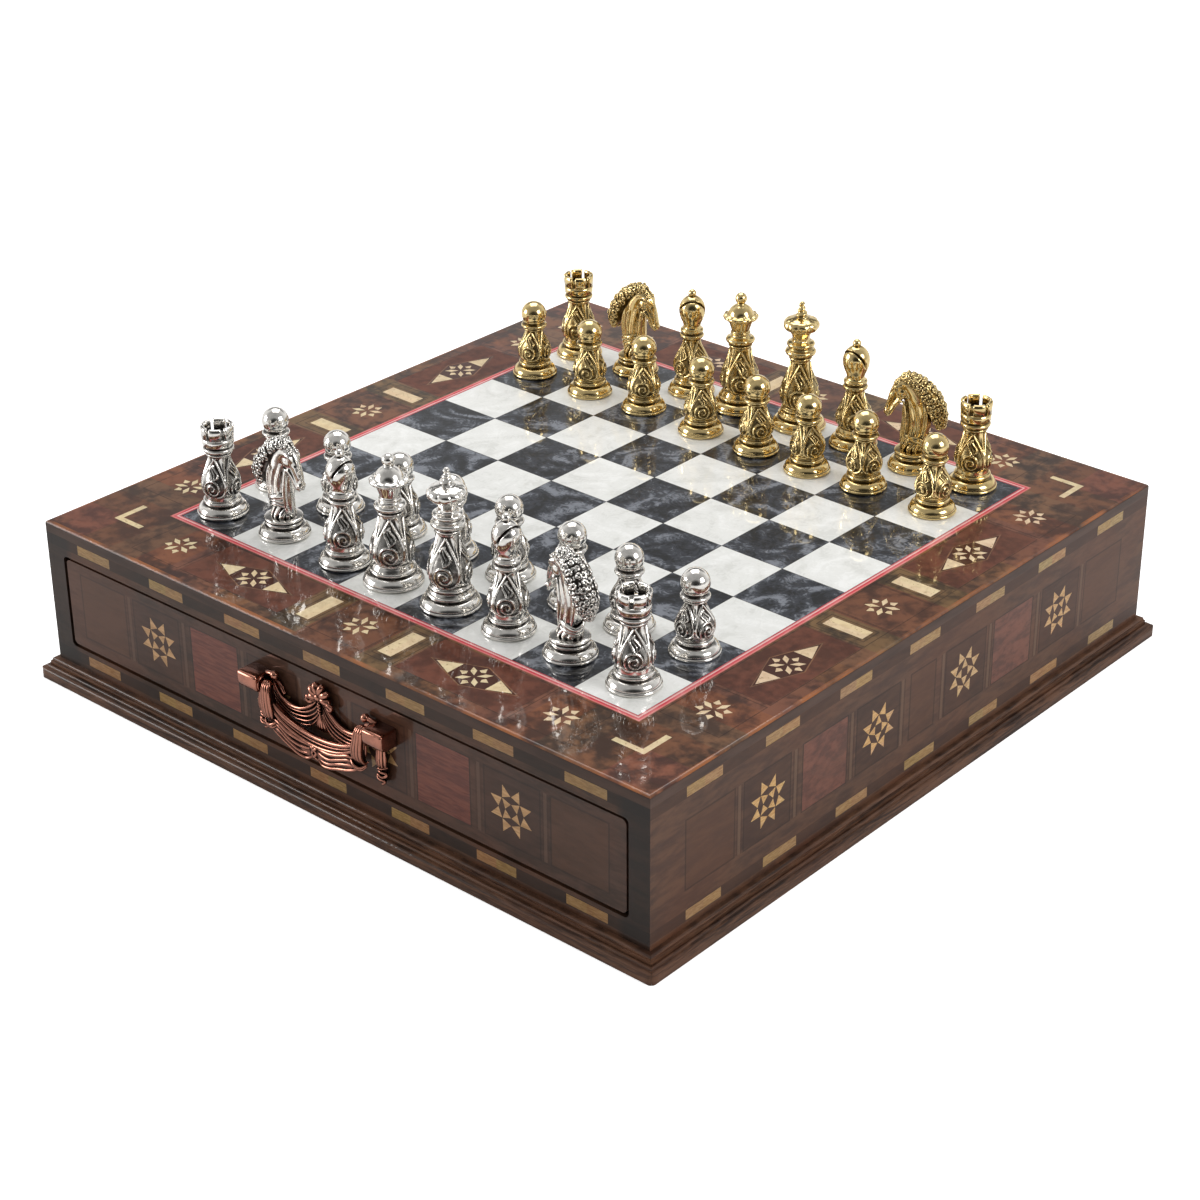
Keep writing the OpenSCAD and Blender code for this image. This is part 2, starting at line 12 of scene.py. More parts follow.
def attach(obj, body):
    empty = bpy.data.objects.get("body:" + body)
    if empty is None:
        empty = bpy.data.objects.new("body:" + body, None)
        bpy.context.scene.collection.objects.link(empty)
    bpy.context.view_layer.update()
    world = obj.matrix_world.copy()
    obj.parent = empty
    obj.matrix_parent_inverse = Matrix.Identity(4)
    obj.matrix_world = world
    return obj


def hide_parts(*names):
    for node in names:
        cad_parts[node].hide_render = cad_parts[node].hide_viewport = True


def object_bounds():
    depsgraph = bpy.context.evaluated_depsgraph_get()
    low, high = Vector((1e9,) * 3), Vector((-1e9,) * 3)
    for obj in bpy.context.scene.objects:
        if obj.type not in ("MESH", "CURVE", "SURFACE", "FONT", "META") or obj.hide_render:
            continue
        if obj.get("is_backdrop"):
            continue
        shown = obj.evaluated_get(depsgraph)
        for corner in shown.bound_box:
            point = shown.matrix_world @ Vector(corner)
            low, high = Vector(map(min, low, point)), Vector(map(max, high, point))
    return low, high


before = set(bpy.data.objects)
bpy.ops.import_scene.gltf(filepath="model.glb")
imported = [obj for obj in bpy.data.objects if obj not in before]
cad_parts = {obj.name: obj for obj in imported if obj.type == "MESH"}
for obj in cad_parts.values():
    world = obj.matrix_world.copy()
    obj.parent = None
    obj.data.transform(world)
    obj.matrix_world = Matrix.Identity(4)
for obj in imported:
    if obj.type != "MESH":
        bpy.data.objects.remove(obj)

# Looks of an inlaid chess box: veneers, pearl field, cast drop handles and the 32 chess pieces.
# Sizes are in millimetres, +Z up, and become metres when a piece is finished.

LOG = logging.getLogger("chess_box")
MM = 0.001
SQUARE = 29.0
FIELD = 4 * SQUARE
TOP_Z = 68.5
HALF = 152.5
BORDER_LINE = HALF - 19.6
WALL_MIDDLE_Z = 37.1
FILES = "abcdefgh"
WHITE = (1.0, 1.0, 1.0, 1.0)
DULL = 0.1
COAT_ROUGHNESS = 0.04
X_AXIS = (1.0, 0.0, 0.0)
Y_AXIS = (0.0, 1.0, 0.0)
Z_AXIS = (0.0, 0.0, 1.0)

Point = tuple[float, float]
Triple = tuple[float, float, float]
Row = tuple[float, ...]
Colour = tuple[float, float, float, float]
Socket = bpy.types.NodeSocket
Value = float | tuple | Socket
Material = bpy.types.Material
Mesh = bpy.types.Mesh


def tint(code: str) -> Colour:
    """Linear colour of a hexadecimal screen colour.

    Args:
        code: six hexadecimal digits.

    Returns:
        Red, green, blue and an alpha of 1.
    """
    parts = [int(code[k:k + 2], 16) / 255 for k in (0, 2, 4)]
    linear = [c / 12.92 if c <= 0.04045 else ((c + 0.055) / 1.055) ** 2.4 for c in parts]
    return (*linear, 1.0)


# ---------- materials ----------


class Graph:
    """Node tree of one material, with short calls for the nodes that the finishes use."""

    def __init__(self, name: str) -> None:
        """Starts an empty tree with a Principled shader.

        Args:
            name: name of the material.
        """
        self.material = bpy.data.materials.new(name)
        self.material.use_nodes = True
        self.tree = self.material.node_tree
        self.tree.nodes.clear()
        self.shader = self.tree.nodes.new("ShaderNodeBsdfPrincipled")
        output = self.tree.nodes.new("ShaderNodeOutputMaterial")
        self.tree.links.new(self.shader.outputs[0], output.inputs["Surface"])

    def put(self, socket: Socket, value: Value) -> None:
        """Links a socket or sets its value."""
        if isinstance(value, bpy.types.NodeSocket):
            self.tree.links.new(value, socket)
        else:
            socket.default_value = value

    def set(self, **inputs: Value) -> None:
        """Sets inputs of the shader; underscores stand for spaces."""
        for name, value in inputs.items():
            self.put(self.shader.inputs[name.replace("_", " ")], value)

    def lacquer(self, colour: Value, roughness: float, coat: Value) -> None:
        """Sets a colour under clear lacquer.

        Args:
            colour: colour of what is coated.
            roughness: its roughness.
            coat: weight of the lacquer.
        """
        self.set(
            Base_Color=colour,
            Roughness=roughness,
            Specular_IOR_Level=DULL,
            Coat_Weight=coat,
            Coat_Roughness=COAT_ROUGHNESS,
        )

    def layers(self, colour: Socket, *layers: tuple[Socket, Value, str]) -> Socket:
        """Paints layers over a colour.

        Args:
            colour: the colour below.
            layers: mask, strength and hexadecimal colour of each.

        Returns:
            The mixed colour.
        """
        for mask, strength, code in layers:
            colour = self.mix(self.math("MULTIPLY", mask, strength), colour, tint(code))
        return colour

    def math(self, operation: str, *values: Value) -> Socket:
        """One math node.

        Args:
            operation: Blender's name of the operation.
            values: its inputs.

        Returns:
            The result socket.
        """
        node = self.tree.nodes.new("ShaderNodeMath")
        node.operation = operation
        for socket, value in zip(node.inputs, values):
            self.put(socket, value)
        return node.outputs[0]

    def near(self, value: Value, centre: float, reach: float) -> Socket:
        """1 where a value lies within reach of a centre, else 0."""
        return self.math("COMPARE", value, centre, reach)

    def both(self, *masks: Socket) -> Socket:
        """Product of masks."""
        found = masks[0]
        for mask in masks[1:]:
            found = self.math("MULTIPLY", found, mask)
        return found

    def either(self, *masks: Socket) -> Socket:
        """Largest of masks."""
        found = masks[0]
        for mask in masks[1:]:
            found = self.math("MAXIMUM", found, mask)
        return found

    def frame_line(self, u: Socket, v: Socket, middle: Point, half: Point, width: float) -> Socket:
        """Mask of a rectangle's outline.

        Args:
            u: first coordinate.
            v: second coordinate.
            middle: middle of the rectangle.
            half: half of its width and height.
            width: width of the line.

        Returns:
            1 on the line, else 0.
        """
        rims = [
            self.both(self.near(u, middle[0], half[0] + grow), self.near(v, middle[1], half[1] + grow))
            for grow in (width / 2, -width / 2)
        ]
        return self.math("SUBTRACT", rims[0], rims[1])

    def mix(self, share: Value, first: Value, second: Value, blend: str = "MIX") -> Socket:
        """Mixes two colours.

        Args:
            share: 0 for the first, 1 for the second.
            first: a colour.
            second: a colour.
            blend: Blender's name of the blend.

        Returns:
            The mixed colour.
        """
        node = self.tree.nodes.new("ShaderNodeMix")
        node.data_type = "RGBA"
        node.blend_type = blend
        self.put(node.inputs["Factor"], share)
        self.put(node.inputs[6], first)
        self.put(node.inputs[7], second)
        return node.outputs[2]

    def ramp(self, share: Socket, *stops: tuple[float, Colour], step: bool = False) -> Socket:
        """Colour ramp over stops of place and colour."""
        node = self.tree.nodes.new("ShaderNodeValToRGB")
        ramp = node.color_ramp
        ramp.interpolation = "CONSTANT" if step else "EASE"
        for element, (place, colour) in zip(ramp.elements, stops):
            element.position, element.color = place, colour
        for place, colour in stops[2:]:
            ramp.elements.new(place).color = colour
        self.put(node.inputs[0], share)
        return node.outputs[0]

    def grey(self, share: Socket, low: float, high: float, start: float = 0.0, end: float = 1.0) -> Socket:
        """Value from low to high while a share goes from start to end."""
        node = self.tree.nodes.new("ShaderNodeMapRange")
        self.put(node.inputs["Value"], share)
        for name, value in (("From Min", start), ("From Max", end), ("To Min", low), ("To Max", high)):
            node.inputs[name].default_value = value
        return node.outputs[0]

    def place(self) -> Socket:
        """Object coordinates, in metres."""
        return self.tree.nodes.new("ShaderNodeTexCoord").outputs["Object"]

    def millimetres(self) -> tuple[Socket, Socket, Socket]:
        """The three object coordinates in millimetres."""
        node = self.tree.nodes.new("ShaderNodeSeparateXYZ")
        self.put(node.inputs[0], self.stretched(self.place(), (1000, 1000, 1000)))
        return node.outputs[0], node.outputs[1], node.outputs[2]

    def stretched(self, where: Socket, by: Triple) -> Socket:
        """Coordinates times a factor for each axis."""
        node = self.tree.nodes.new("ShaderNodeVectorMath")
        node.operation = "MULTIPLY"
        self.put(node.inputs[0], where)
        node.inputs[1].default_value = by
        return node.outputs[0]

    def moved(self, where: Socket, by: Socket) -> Socket:
        """Coordinates plus an offset."""
        node = self.tree.nodes.new("ShaderNodeVectorMath")
        node.operation = "ADD"
        self.put(node.inputs[0], where)
        self.put(node.inputs[1], by)
        return node.outputs[0]

    def vector(self, x: Value, y: Value, z: Value) -> Socket:
        """A vector of three values."""
        node = self.tree.nodes.new("ShaderNodeCombineXYZ")
        for socket, value in zip(node.inputs, (x, y, z)):
            self.put(socket, value)
        return node.outputs[0]

    def noise(self, where: Socket, scale: float, detail: float = 3.0, warp: float = 0.0) -> Socket:
        """Cloudy noise from 0 to 1.

        Args:
            where: coordinates.
            scale: clouds in one unit of them.
            detail: number of finer layers.
            warp: how far the clouds are drawn out.

        Returns:
            The noise value.
        """
        node = self.tree.nodes.new("ShaderNodeTexNoise")
        self.put(node.inputs["Vector"], where)
        node.inputs["Scale"].default_value = scale
        node.inputs["Detail"].default_value = detail
        node.inputs["Distortion"].default_value = warp
        return node.outputs[0]

    def random(self, where: Socket) -> Socket:
        """Random colour of each whole place."""
        node = self.tree.nodes.new("ShaderNodeTexWhiteNoise")
        self.put(node.inputs["Vector"], where)
        return node.outputs["Color"]

    def bump(self, height: Socket, depth: float, strength: float = 1.0) -> Socket:
        """Normal of a surface with a small relief, its depth in metres."""
        node = self.tree.nodes.new("ShaderNodeBump")
        node.inputs["Strength"].default_value = strength
        node.inputs["Distance"].default_value = depth
        self.put(node.inputs["Height"], height)
        return node.outputs[0]

    def attribute(self, name: str) -> Socket:
        """Value of a mesh attribute."""
        node = self.tree.nodes.new("ShaderNodeAttribute")
        node.attribute_name = name
        return node.outputs["Fac"]


@dataclass(frozen=True)
class Finish:
    """A named finish, which each kind paints in its own way."""

    name: str

    def material(self) -> Material:
        """The finished material."""
        graph = Graph(self.name)
        self.paint(graph)
        return graph.material

    def paint(self, graph: Graph) -> None:
        """Sets the shader in the tree of the material."""
        raise NotImplementedError


@dataclass(frozen=True)
class Wood(Finish):
    """Lacquered wood with soft clouds of colour along one axis."""

    light: str
    dark: str
    along: Triple = (1.0, 5.0, 5.0)
    figure: float = 34.0
    gloss: float = 1.0
    roughness: float = 0.42
    ripple: float = 0.00002
    patch: str = "623a26"
    patches: float = 0.3
    spread: Point = (0.36, 0.64)

    def colour(self, graph: Graph) -> Socket:
        """Colour of the bare wood.

        Args:
            graph: tree of the material.

        Returns:
            The colour socket.
        """
        drawn = graph.stretched(graph.place(), self.along)
        clouds = graph.noise(drawn, self.figure, 4.0, 1.0)
        streaks = graph.noise(drawn, self.figure * 5, 3.0, 0.3)
        share = graph.math("MULTIPLY_ADD", streaks, 0.4, graph.math("MULTIPLY", clouds, 0.6))
        wood = graph.ramp(share, (self.spread[0], tint(self.dark)), (self.spread[1], tint(self.light)))
        stain = graph.noise(graph.place(), 24.0, 2.0)
        return graph.mix(graph.grey(stain, 0.0, self.patches, 0.45, 0.62), wood, tint(self.patch))

    def pattern(self, graph: Graph, wood: Socket) -> Socket:
        """Colour with the veneer pattern on it; plain wood has none."""
        return wood

    def coat(self, graph: Graph) -> Value:
        """Weight of the lacquer."""
        return self.gloss

    def paint(self, graph: Graph) -> None:
        """Sets the shader: wood with its pattern under rippled lacquer."""
        waves = graph.noise(graph.place(), 260.0, 2.0)
        graph.lacquer(self.pattern(graph, self.colour(graph)), self.roughness, self.coat(graph))
        graph.set(Coat_IOR=1.5, Coat_Normal=graph.bump(waves, self.ripple))


@dataclass(frozen=True)
class TopVeneer(Wood):
    """Veneered border round the playing field, with a line round each compartment."""

    stars: tuple[float, float] = (0.0, 96.6)
    star_half: Point = (12.9, 12.9)
    bar_x: float = 20.9
    bar_half: Point = (7.4, 12.9)
    bar_frame: Point = (4.6, 10.4)
    lozenge_x: float = 56.0
    veneer_half: Point = (26.0, 12.9)
    lozenge_half: Point = (21.3, 8.05)
    line: float = 0.45
    edge_at: float = 150.9
    side_shade: str = "46332a"
    end_shade: str = "3c2a21"
    side_gloss: float = 0.3

    def coat(self, graph: Graph) -> Value:
        """Weight of the lacquer: less on the sawn edge."""
        x, y, z = graph.millimetres()
        far = graph.math("MAXIMUM", graph.math("ABSOLUTE", x), graph.math("ABSOLUTE", y))
        rim = graph.both(graph.math("GREATER_THAN", far, HALF - 0.5), graph.math("LESS_THAN", z, TOP_Z - 0.4))
        return graph.grey(rim, self.gloss, self.side_gloss)

    def pattern(self, graph: Graph, wood: Socket) -> Socket:
        """Lines, dark lozenges and the worn outer edge."""
        x, y, z = graph.millimetres()
        x, y = graph.math("ABSOLUTE", x), graph.math("ABSOLUTE", y)
        u, v = graph.math("MINIMUM", x, y), graph.math("MAXIMUM", x, y)
        frames = [(self.stars[0], self.star_half), (self.stars[1], self.star_half),
                  (self.bar_x, self.bar_half), (self.bar_x, self.bar_frame),
                  (self.lozenge_x, self.veneer_half)]
        lines = graph.either(*[
            graph.frame_line(u, v, (middle, BORDER_LINE), half, self.line) for middle, half in frames
        ])
        across = graph.math("ABSOLUTE", graph.math("SUBTRACT", u, self.lozenge_x))
        up = graph.math("ABSOLUTE", graph.math("SUBTRACT", v, BORDER_LINE))
        lozenge = graph.math(
            "ADD",
            graph.math("DIVIDE", across, self.lozenge_half[0]),
            graph.math("DIVIDE", up, self.lozenge_half[1]),
        )
        broken = graph.noise(graph.place(), 300.0, 2.0)
        inside = graph.math("LESS_THAN", lozenge, 0.93)
        rim = graph.near(lozenge, 0.955, 0.03)
        cell = graph.vector(graph.math("FLOOR", graph.math("DIVIDE", u, 14.5)), 1.0, 1.0)
        shade = graph.random(cell)
        edge = graph.math("GREATER_THAN", v, self.edge_at)
        worn = graph.grey(graph.noise(graph.stretched(graph.place(), (1, 1, 3)), 60.0, 3.0), 0.0, 0.85, 0.4, 0.6)
        colour = graph.layers(
            graph.mix(0.22, wood, shade, "SOFT_LIGHT"),
            (inside, graph.near(v, BORDER_LINE, 12), "452114"),
            (rim, 0.5, "8a6044"),
            (lines, graph.grey(broken, 0.25, 0.85), "20100a"),
            (edge, worn, "9a5c30"),
        )
        below = graph.math("LESS_THAN", z, TOP_Z - 0.7)
        front = graph.math("GREATER_THAN", y, x)
        side = graph.mix(front, tint(self.side_shade), tint(self.end_shade))
        grain = graph.grey(graph.noise(graph.stretched(graph.place(), (1, 1, 6)), 40.0, 4.0), 0.7, 1.3, 0.3, 0.7)
        side = graph.mix(1.0, side, graph.vector(grain, grain, grain), "MULTIPLY")
        return graph.mix(graph.both(graph.math("GREATER_THAN", v, HALF - 0.4), below), colour, side)


@dataclass(frozen=True)
class WallVeneer(Wood):
    """Veneer of a wall or drawer face: framed panels between two rows of bars."""

    axis: int = 0
    deep: str = "241a18"
    panel: str = "5d4335"
    strip: str = "75604f"
    strength: float = 1.0
    corner: float = 0.0
    corner_x: float = 141.5
    rows: tuple[float, float] = (61.6, 13.15)
    row_half: float = 2.3
    star_x: tuple[float, float] = (27.3, 91.0)
    red_x: float = 58.5
    plain_x: float = 121.6
    panel_half: Point = (12.9, 13.75)
    middle_half: float = 7.8
    strip_x: tuple[float, ...] = (12.7, 43.0, 75.4, 106.2)

    def pattern(self, graph: Graph, wood: Socket) -> Socket:
        """Rows, panels, their outlines and the pale strips between them."""
        coordinates = graph.millimetres()
        u, w = graph.math("ABSOLUTE", coordinates[self.axis]), coordinates[2]
        height = graph.near(w, WALL_MIDDLE_Z, self.panel_half[1])
        dark = graph.either(*[
            graph.both(graph.near(u, x, self.panel_half[0]), height) for x in self.star_x
        ])
        plain = graph.both(height, graph.either(
            graph.near(u, self.plain_x, self.panel_half[0]), graph.near(u, 0.0, self.middle_half)))
        row = graph.either(*[graph.near(w, z, self.row_half) for z in self.rows])
        outlines = [
            graph.frame_line(u, w, (x, WALL_MIDDLE_Z), half, 0.7)
            for x, half in (
                (self.plain_x, self.panel_half), (self.red_x, self.panel_half),
                (self.star_x[0], self.panel_half), (self.star_x[1], self.panel_half),
                (0.0, (self.middle_half, self.panel_half[1])),
            )
        ]
        strips, shadows = (
            graph.both(graph.either(*[graph.near(u, x, half) for x in self.strip_x]), height) for half in (0.75, 1.6)
        )
        grain = graph.noise(graph.stretched(graph.place(), self.along), 240.0, 3.0)
        soft = self.strength
        colour = graph.layers(
            wood,
            (row, 0.72 * soft, self.deep),
            (dark, 0.6 * soft, self.deep),
            (plain, graph.grey(grain, 0.2, 0.8), self.panel),
            (shadows, 0.5 * soft, self.deep),
            (strips, 0.75 * soft, self.strip),
            (graph.either(*outlines), 0.6 * soft, "150e0c"),
        )
        post = graph.grey(u, 0.0, self.corner, self.corner_x - 4, self.corner_x)
        return graph.mix(post, colour, tint("1b1613"))


@dataclass(frozen=True)
class Chips(Finish):
    """Thin chips of pale wood, a little different from chip to chip."""

    light: str
    dark: str
    # pale is painted light for the chips on the top; the wall and end wall tints below are painted shade, the bar tint
    # a stain.
    pale: str = "f3e0c0"
    painted_wall_shade: str = "efdccb"
    bar_stain: str = "c8c4b2"
    painted_end_wall_shade: str = "e6dcc6"
    upper_cell: float = 20.8
    tall_cell: float = 30.0

    def paint(self, graph: Graph) -> None:
        """Sets the shader: pale fibres; the chips on the top get painted light, the chips on the walls painted shade,
        deeper on the end walls, and the bars a stain.
        """
        x, y, z = graph.millimetres()
        cell = graph.vector(*[
            graph.math("FLOOR", graph.math("DIVIDE", value, step))
            for value, step in ((x, self.upper_cell), (y, self.upper_cell), (z, self.tall_cell))
        ])
        fibres = graph.noise(graph.stretched(graph.place(), (1.0, 1.0, 6.0)), 330.0, 4.0, 0.6)
        flecks = graph.noise(graph.place(), 900.0, 2.0)
        colour = graph.ramp(fibres, (0.3, tint(self.dark)), (0.7, tint(self.light)))
        colour = graph.mix(0.16, colour, graph.random(cell), "SOFT_LIGHT")
        upper = graph.math("GREATER_THAN", z, TOP_Z - 0.4)
        lower = graph.near(upper, 0.0, 0.5)
        bar = graph.math("GREATER_THAN", graph.math("ABSOLUTE", graph.math("SUBTRACT", z, WALL_MIDDLE_Z)), 16.0)
        front = graph.math("GREATER_THAN", graph.math("ABSOLUTE", y), HALF - 1.5)
        # Painted light: the chips on the top are mixed towards the pale colour.
        colour = graph.mix(graph.math("MULTIPLY", upper, 0.45), colour, tint(self.pale))
        # Painted shade on the wall chips, more on the end walls; the bar tint is a stain.
        stains_and_painted_shade = (
            (lower, self.painted_wall_shade),
            (graph.both(lower, bar), self.bar_stain),
            (graph.both(lower, front), self.painted_end_wall_shade),
        )
        # Each tint multiplies the chips under its mask: painted shade, or the stain of the bars.
        for mask, stain in stains_and_painted_shade:
            colour = graph.mix(mask, colour, graph.mix(1.0, colour, tint(stain), "MULTIPLY"))
        colour = graph.mix(graph.grey(flecks, 0.55, 0.0, 0.28, 0.36), colour, tint("7a5630"))
        graph.lacquer(colour, 0.4, 0.7)


@dataclass(frozen=True)
class FaceInlays(Finish):
    """Chips and red veneers of a drawer face, told apart by where they lie."""

    red_x: float = 58.5
    red_half: float = 13.0

    def paint(self, graph: Graph) -> None:
        """Sets the shader: pale fibres darkened as painted shade of the upright face, or red fibres."""
        x, _, _ = graph.millimetres()
        red = graph.near(graph.math("ABSOLUTE", x), self.red_x, self.red_half)
        fibres = graph.noise(graph.stretched(graph.place(), (1.0, 6.0, 8.0)), 120.0, 4.0, 0.6)
        # Maple chips in darker colours than the top's chips: painted shade of the upright face.
        maple = graph.ramp(fibres, (0.3, tint("98734c")), (0.7, tint("ba9265")))
        rose = graph.ramp(fibres, (0.35, tint("54291f")), (0.68, tint("6c3a2b")))
        graph.lacquer(graph.mix(red, maple, rose), 0.42, 0.5)


@dataclass(frozen=True)
class Pearl(Finish):
    """Polished pearl tiles: drifting clouds that differ from tile to tile, with a dark hairline round each."""

    deep: str
    middle: str
    bright: str
    joint: str
    scale: float = 46.0
    spread: Triple = (0.36, 0.5, 0.66)
    joint_half: float = 0.16

    def paint(self, graph: Graph) -> None:
        """Sets the shader: clouds and flakes under a polish."""
        x, y, _ = graph.millimetres()
        tile = graph.vector(*[graph.math("FLOOR", graph.math("DIVIDE", value, SQUARE)) for value in (x, y)], 0.0)
        offset = graph.random(tile)
        where = graph.moved(graph.place(), offset)
        turned = self.turned(graph, where, offset)
        clouds = graph.noise(turned, self.scale, 4.0, 2.2)
        flakes = graph.noise(turned, self.scale * 4.5, 2.0, 3.5)
        share = graph.math("MULTIPLY_ADD", flakes, 0.3, graph.math("MULTIPLY", clouds, 0.7))
        low, mid, high = self.spread
        colour = graph.ramp(share, (low, tint(self.deep)), (mid, tint(self.middle)), (high, tint(self.bright)))
        joints = graph.either(*[
            graph.math("LESS_THAN", graph.math("PINGPONG", value, SQUARE / 2), self.joint_half) for value in (x, y)
        ])
        colour = graph.mix(graph.math("MULTIPLY", joints, 0.75), colour, tint(self.joint))
        graph.set(
            Base_Color=colour,
            Roughness=0.3,
            Specular_IOR_Level=0.2,
            Coat_Weight=1.0,
            Coat_Roughness=0.03,
            Coat_Normal=graph.bump(graph.noise(graph.place(), 130.0, 2.0), 0.00002),
        )

    def turned(self, graph: Graph, where: Socket, offset: Socket) -> Socket:
        """Coordinates turned about Z by a random angle for each tile."""
        node = graph.tree.nodes.new("ShaderNodeVectorRotate")
        node.rotation_type = "Z_AXIS"
        graph.put(node.inputs["Vector"], where)
        split = graph.tree.nodes.new("ShaderNodeSeparateXYZ")
        graph.put(split.inputs[0], offset)
        graph.put(node.inputs["Angle"], graph.math("MULTIPLY", split.outputs[0], math.tau))
        return node.outputs[0]


@dataclass(frozen=True)
class Stringing(Finish):
    """Red and pink lines round the playing field, by their distance from it."""

    width: float = 3.0
    bands: tuple[tuple[float, str], ...] = (
        (0.0, "c04652"), (0.2, "e9b9b4"), (0.42, "d0414f"), (0.72, "de7a76"), (0.9, "a85a4c"))

    def paint(self, graph: Graph) -> None:
        """Sets the shader: worn bands of colour."""
        x, y, _ = graph.millimetres()
        far = graph.math("MAXIMUM", graph.math("ABSOLUTE", x), graph.math("ABSOLUTE", y))
        share = graph.math("DIVIDE", graph.math("SUBTRACT", far, FIELD), self.width)
        share = graph.math("MULTIPLY_ADD", graph.noise(graph.place(), 300.0, 2.0), 0.06, share)
        colour = graph.ramp(share, *[(place + 0.03, tint(code)) for place, code in self.bands], step=True)
        wear = graph.noise(graph.place(), 90.0, 3.0)
        colour = graph.mix(graph.grey(wear, 0.0, 0.3, 0.45, 0.75), colour, tint("f0d0c8"))
        graph.lacquer(colour, 0.35, 0.7)


@dataclass(frozen=True)
class CastMetal(Finish):
    """Antique cast metal: polished where it stands out, dark in its recesses with patina and painted shade."""

    bright: Colour
    dark: Colour
    roughness: float
    grain: float = 0.000012
    tarnished: float = 0.32

    def paint(self, graph: Graph) -> None:
        """Sets the shader: bright metal that darkens with the recess attribute, which holds patina and painted shade.
        """
        recess = graph.attribute("recess")
        spots = graph.noise(graph.place(), 420.0, 4.0)
        # Patina and painted shade from the recess attribute, with spots.
        oxide_and_shade = graph.math("MULTIPLY_ADD", graph.math("SUBTRACT", spots, 0.5), 0.5, recess)
        share = graph.grey(oxide_and_shade, 0.0, 1.0, 0.22, 0.8)
        tarnish = graph.grey(spots, 0.8, 1.0, 0.35, 0.6)
        bright = graph.mix(1.0, self.bright, graph.vector(tarnish, tarnish, tarnish), "MULTIPLY")
        rough = graph.grey(share, self.roughness, self.tarnished)
        graph.set(
            Base_Color=graph.mix(share, bright, self.dark),
            Metallic=1.0,
            Roughness=graph.math("ADD", rough, graph.grey(spots, -0.03, 0.05, 0.3, 0.7)),
            Normal=graph.bump(graph.noise(graph.place(), 1100.0, 2.0), self.grain),
        )


@dataclass(frozen=True)
class Velvet(Finish):
    """Short pile cloth that brightens where it is seen along its surface."""

    shade: str
    sheen: str

    def paint(self, graph: Graph) -> None:
        """Sets the shader: brushed pile with a sheen."""
        pile = graph.noise(graph.place(), 1800.0, 3.0)
        brushed = graph.noise(graph.stretched(graph.place(), (1.0, 2.0, 1.0)), 22.0, 3.0, 1.0)
        colour = graph.mix(graph.grey(pile, 0.0, 0.45, 0.35, 0.65), tint(self.shade), tint(self.sheen))
        colour = graph.mix(graph.grey(brushed, 0.0, 0.35, 0.4, 0.65), colour, tint(self.sheen))
        graph.set(
            Base_Color=colour,
            Roughness=0.95,
            Sheen_Weight=0.7,
            Sheen_Roughness=0.4,
            Sheen_Tint=tint(self.sheen),
            Normal=graph.bump(pile, 0.0002),
        )


@dataclass(frozen=True)
class PlainSteel(Finish):
    """Zinc coated steel of the screws."""

    def paint(self, graph: Graph) -> None:
        """Sets the shader: spotted grey metal."""
        spots = graph.noise(graph.place(), 700.0, 3.0)
        colour = graph.mix(spots, (0.42, 0.42, 0.4, 1.0), (0.6, 0.59, 0.55, 1.0))
        graph.set(Base_Color=colour, Metallic=1.0, Roughness=graph.grey(spots, 0.3, 0.45))


def dress(finish: Finish, *nodes: str) -> None:
    """Gives CAD nodes one finish in every slot.

    Args:
        finish: the finish.
        nodes: names of the nodes.
    """
    material = finish.material()
    for node in nodes:
        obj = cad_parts[node]
        if not obj.material_slots:
            obj.data.materials.append(material)
        for slot in obj.material_slots:
            slot.material = material
        LOG.info("dressed %s", node)


def link(name: str, data: bpy.types.ID) -> bpy.types.Object:
    """Puts a mesh, a lamp or a camera into the scene.

    Args:
        name: name of the object.
        data: what it shows.

    Returns:
        The new object.
    """
    obj = bpy.data.objects.new(name, data)
    bpy.context.scene.collection.objects.link(obj)
    return obj


# ---------- outlines and paths ----------


def arc(x: float, z: float, radius: float, start: float, end: float, steps: int = 6) -> list[Point]:
    """Points of an arc.

    Args:
        x: its middle.
        z: its middle.
        radius: its radius.
        start: first angle in degrees.
        end: last angle in degrees.
        steps: number of lines.

    Returns:
        The points from start to end.
    """
    angles = [math.radians(start + (end - start) * k / steps) for k in range(steps + 1)]
    return [(x + radius * math.cos(a), z + radius * math.sin(a)) for a in angles]


def bead(radius: float, z: float, half: float, steps: int = 8) -> list[Point]:
    """Half-round bead of a turned outline."""
    return arc(radius, z, half, -90, 90, steps)


def dome(z: float, radius: float, start: float, steps: int = 14) -> list[Point]:
    """Upper part of a ball, from an angle up to the axis."""
    return arc(0.0, z, radius, start, 90, steps)


def foot(radius: float) -> list[Point]:
    """Turned foot: thin lip, broad rounded slope, and a bulging ring between two grooves."""
    slope = [
        (radius - 3.3 + 2.85 * math.cos(a), 1.25 + 3.0 * math.sin(a))
        for a in [math.radians(t) for t in range(6, 84, 6)]
    ]
    return [
        (0.0, 0.0), (radius - 0.9, 0.0), *arc(radius - 0.7, 0.72, 0.7, -80, 74, 7), (radius - 0.62, 1.42),
        *slope, (radius - 3.3, 4.3), (radius - 3.35, 4.55), *bead(radius - 3.5, 5.5, 0.82, 10), (radius - 3.65, 6.45),
        (radius - 3.65, 7.0),
    ]


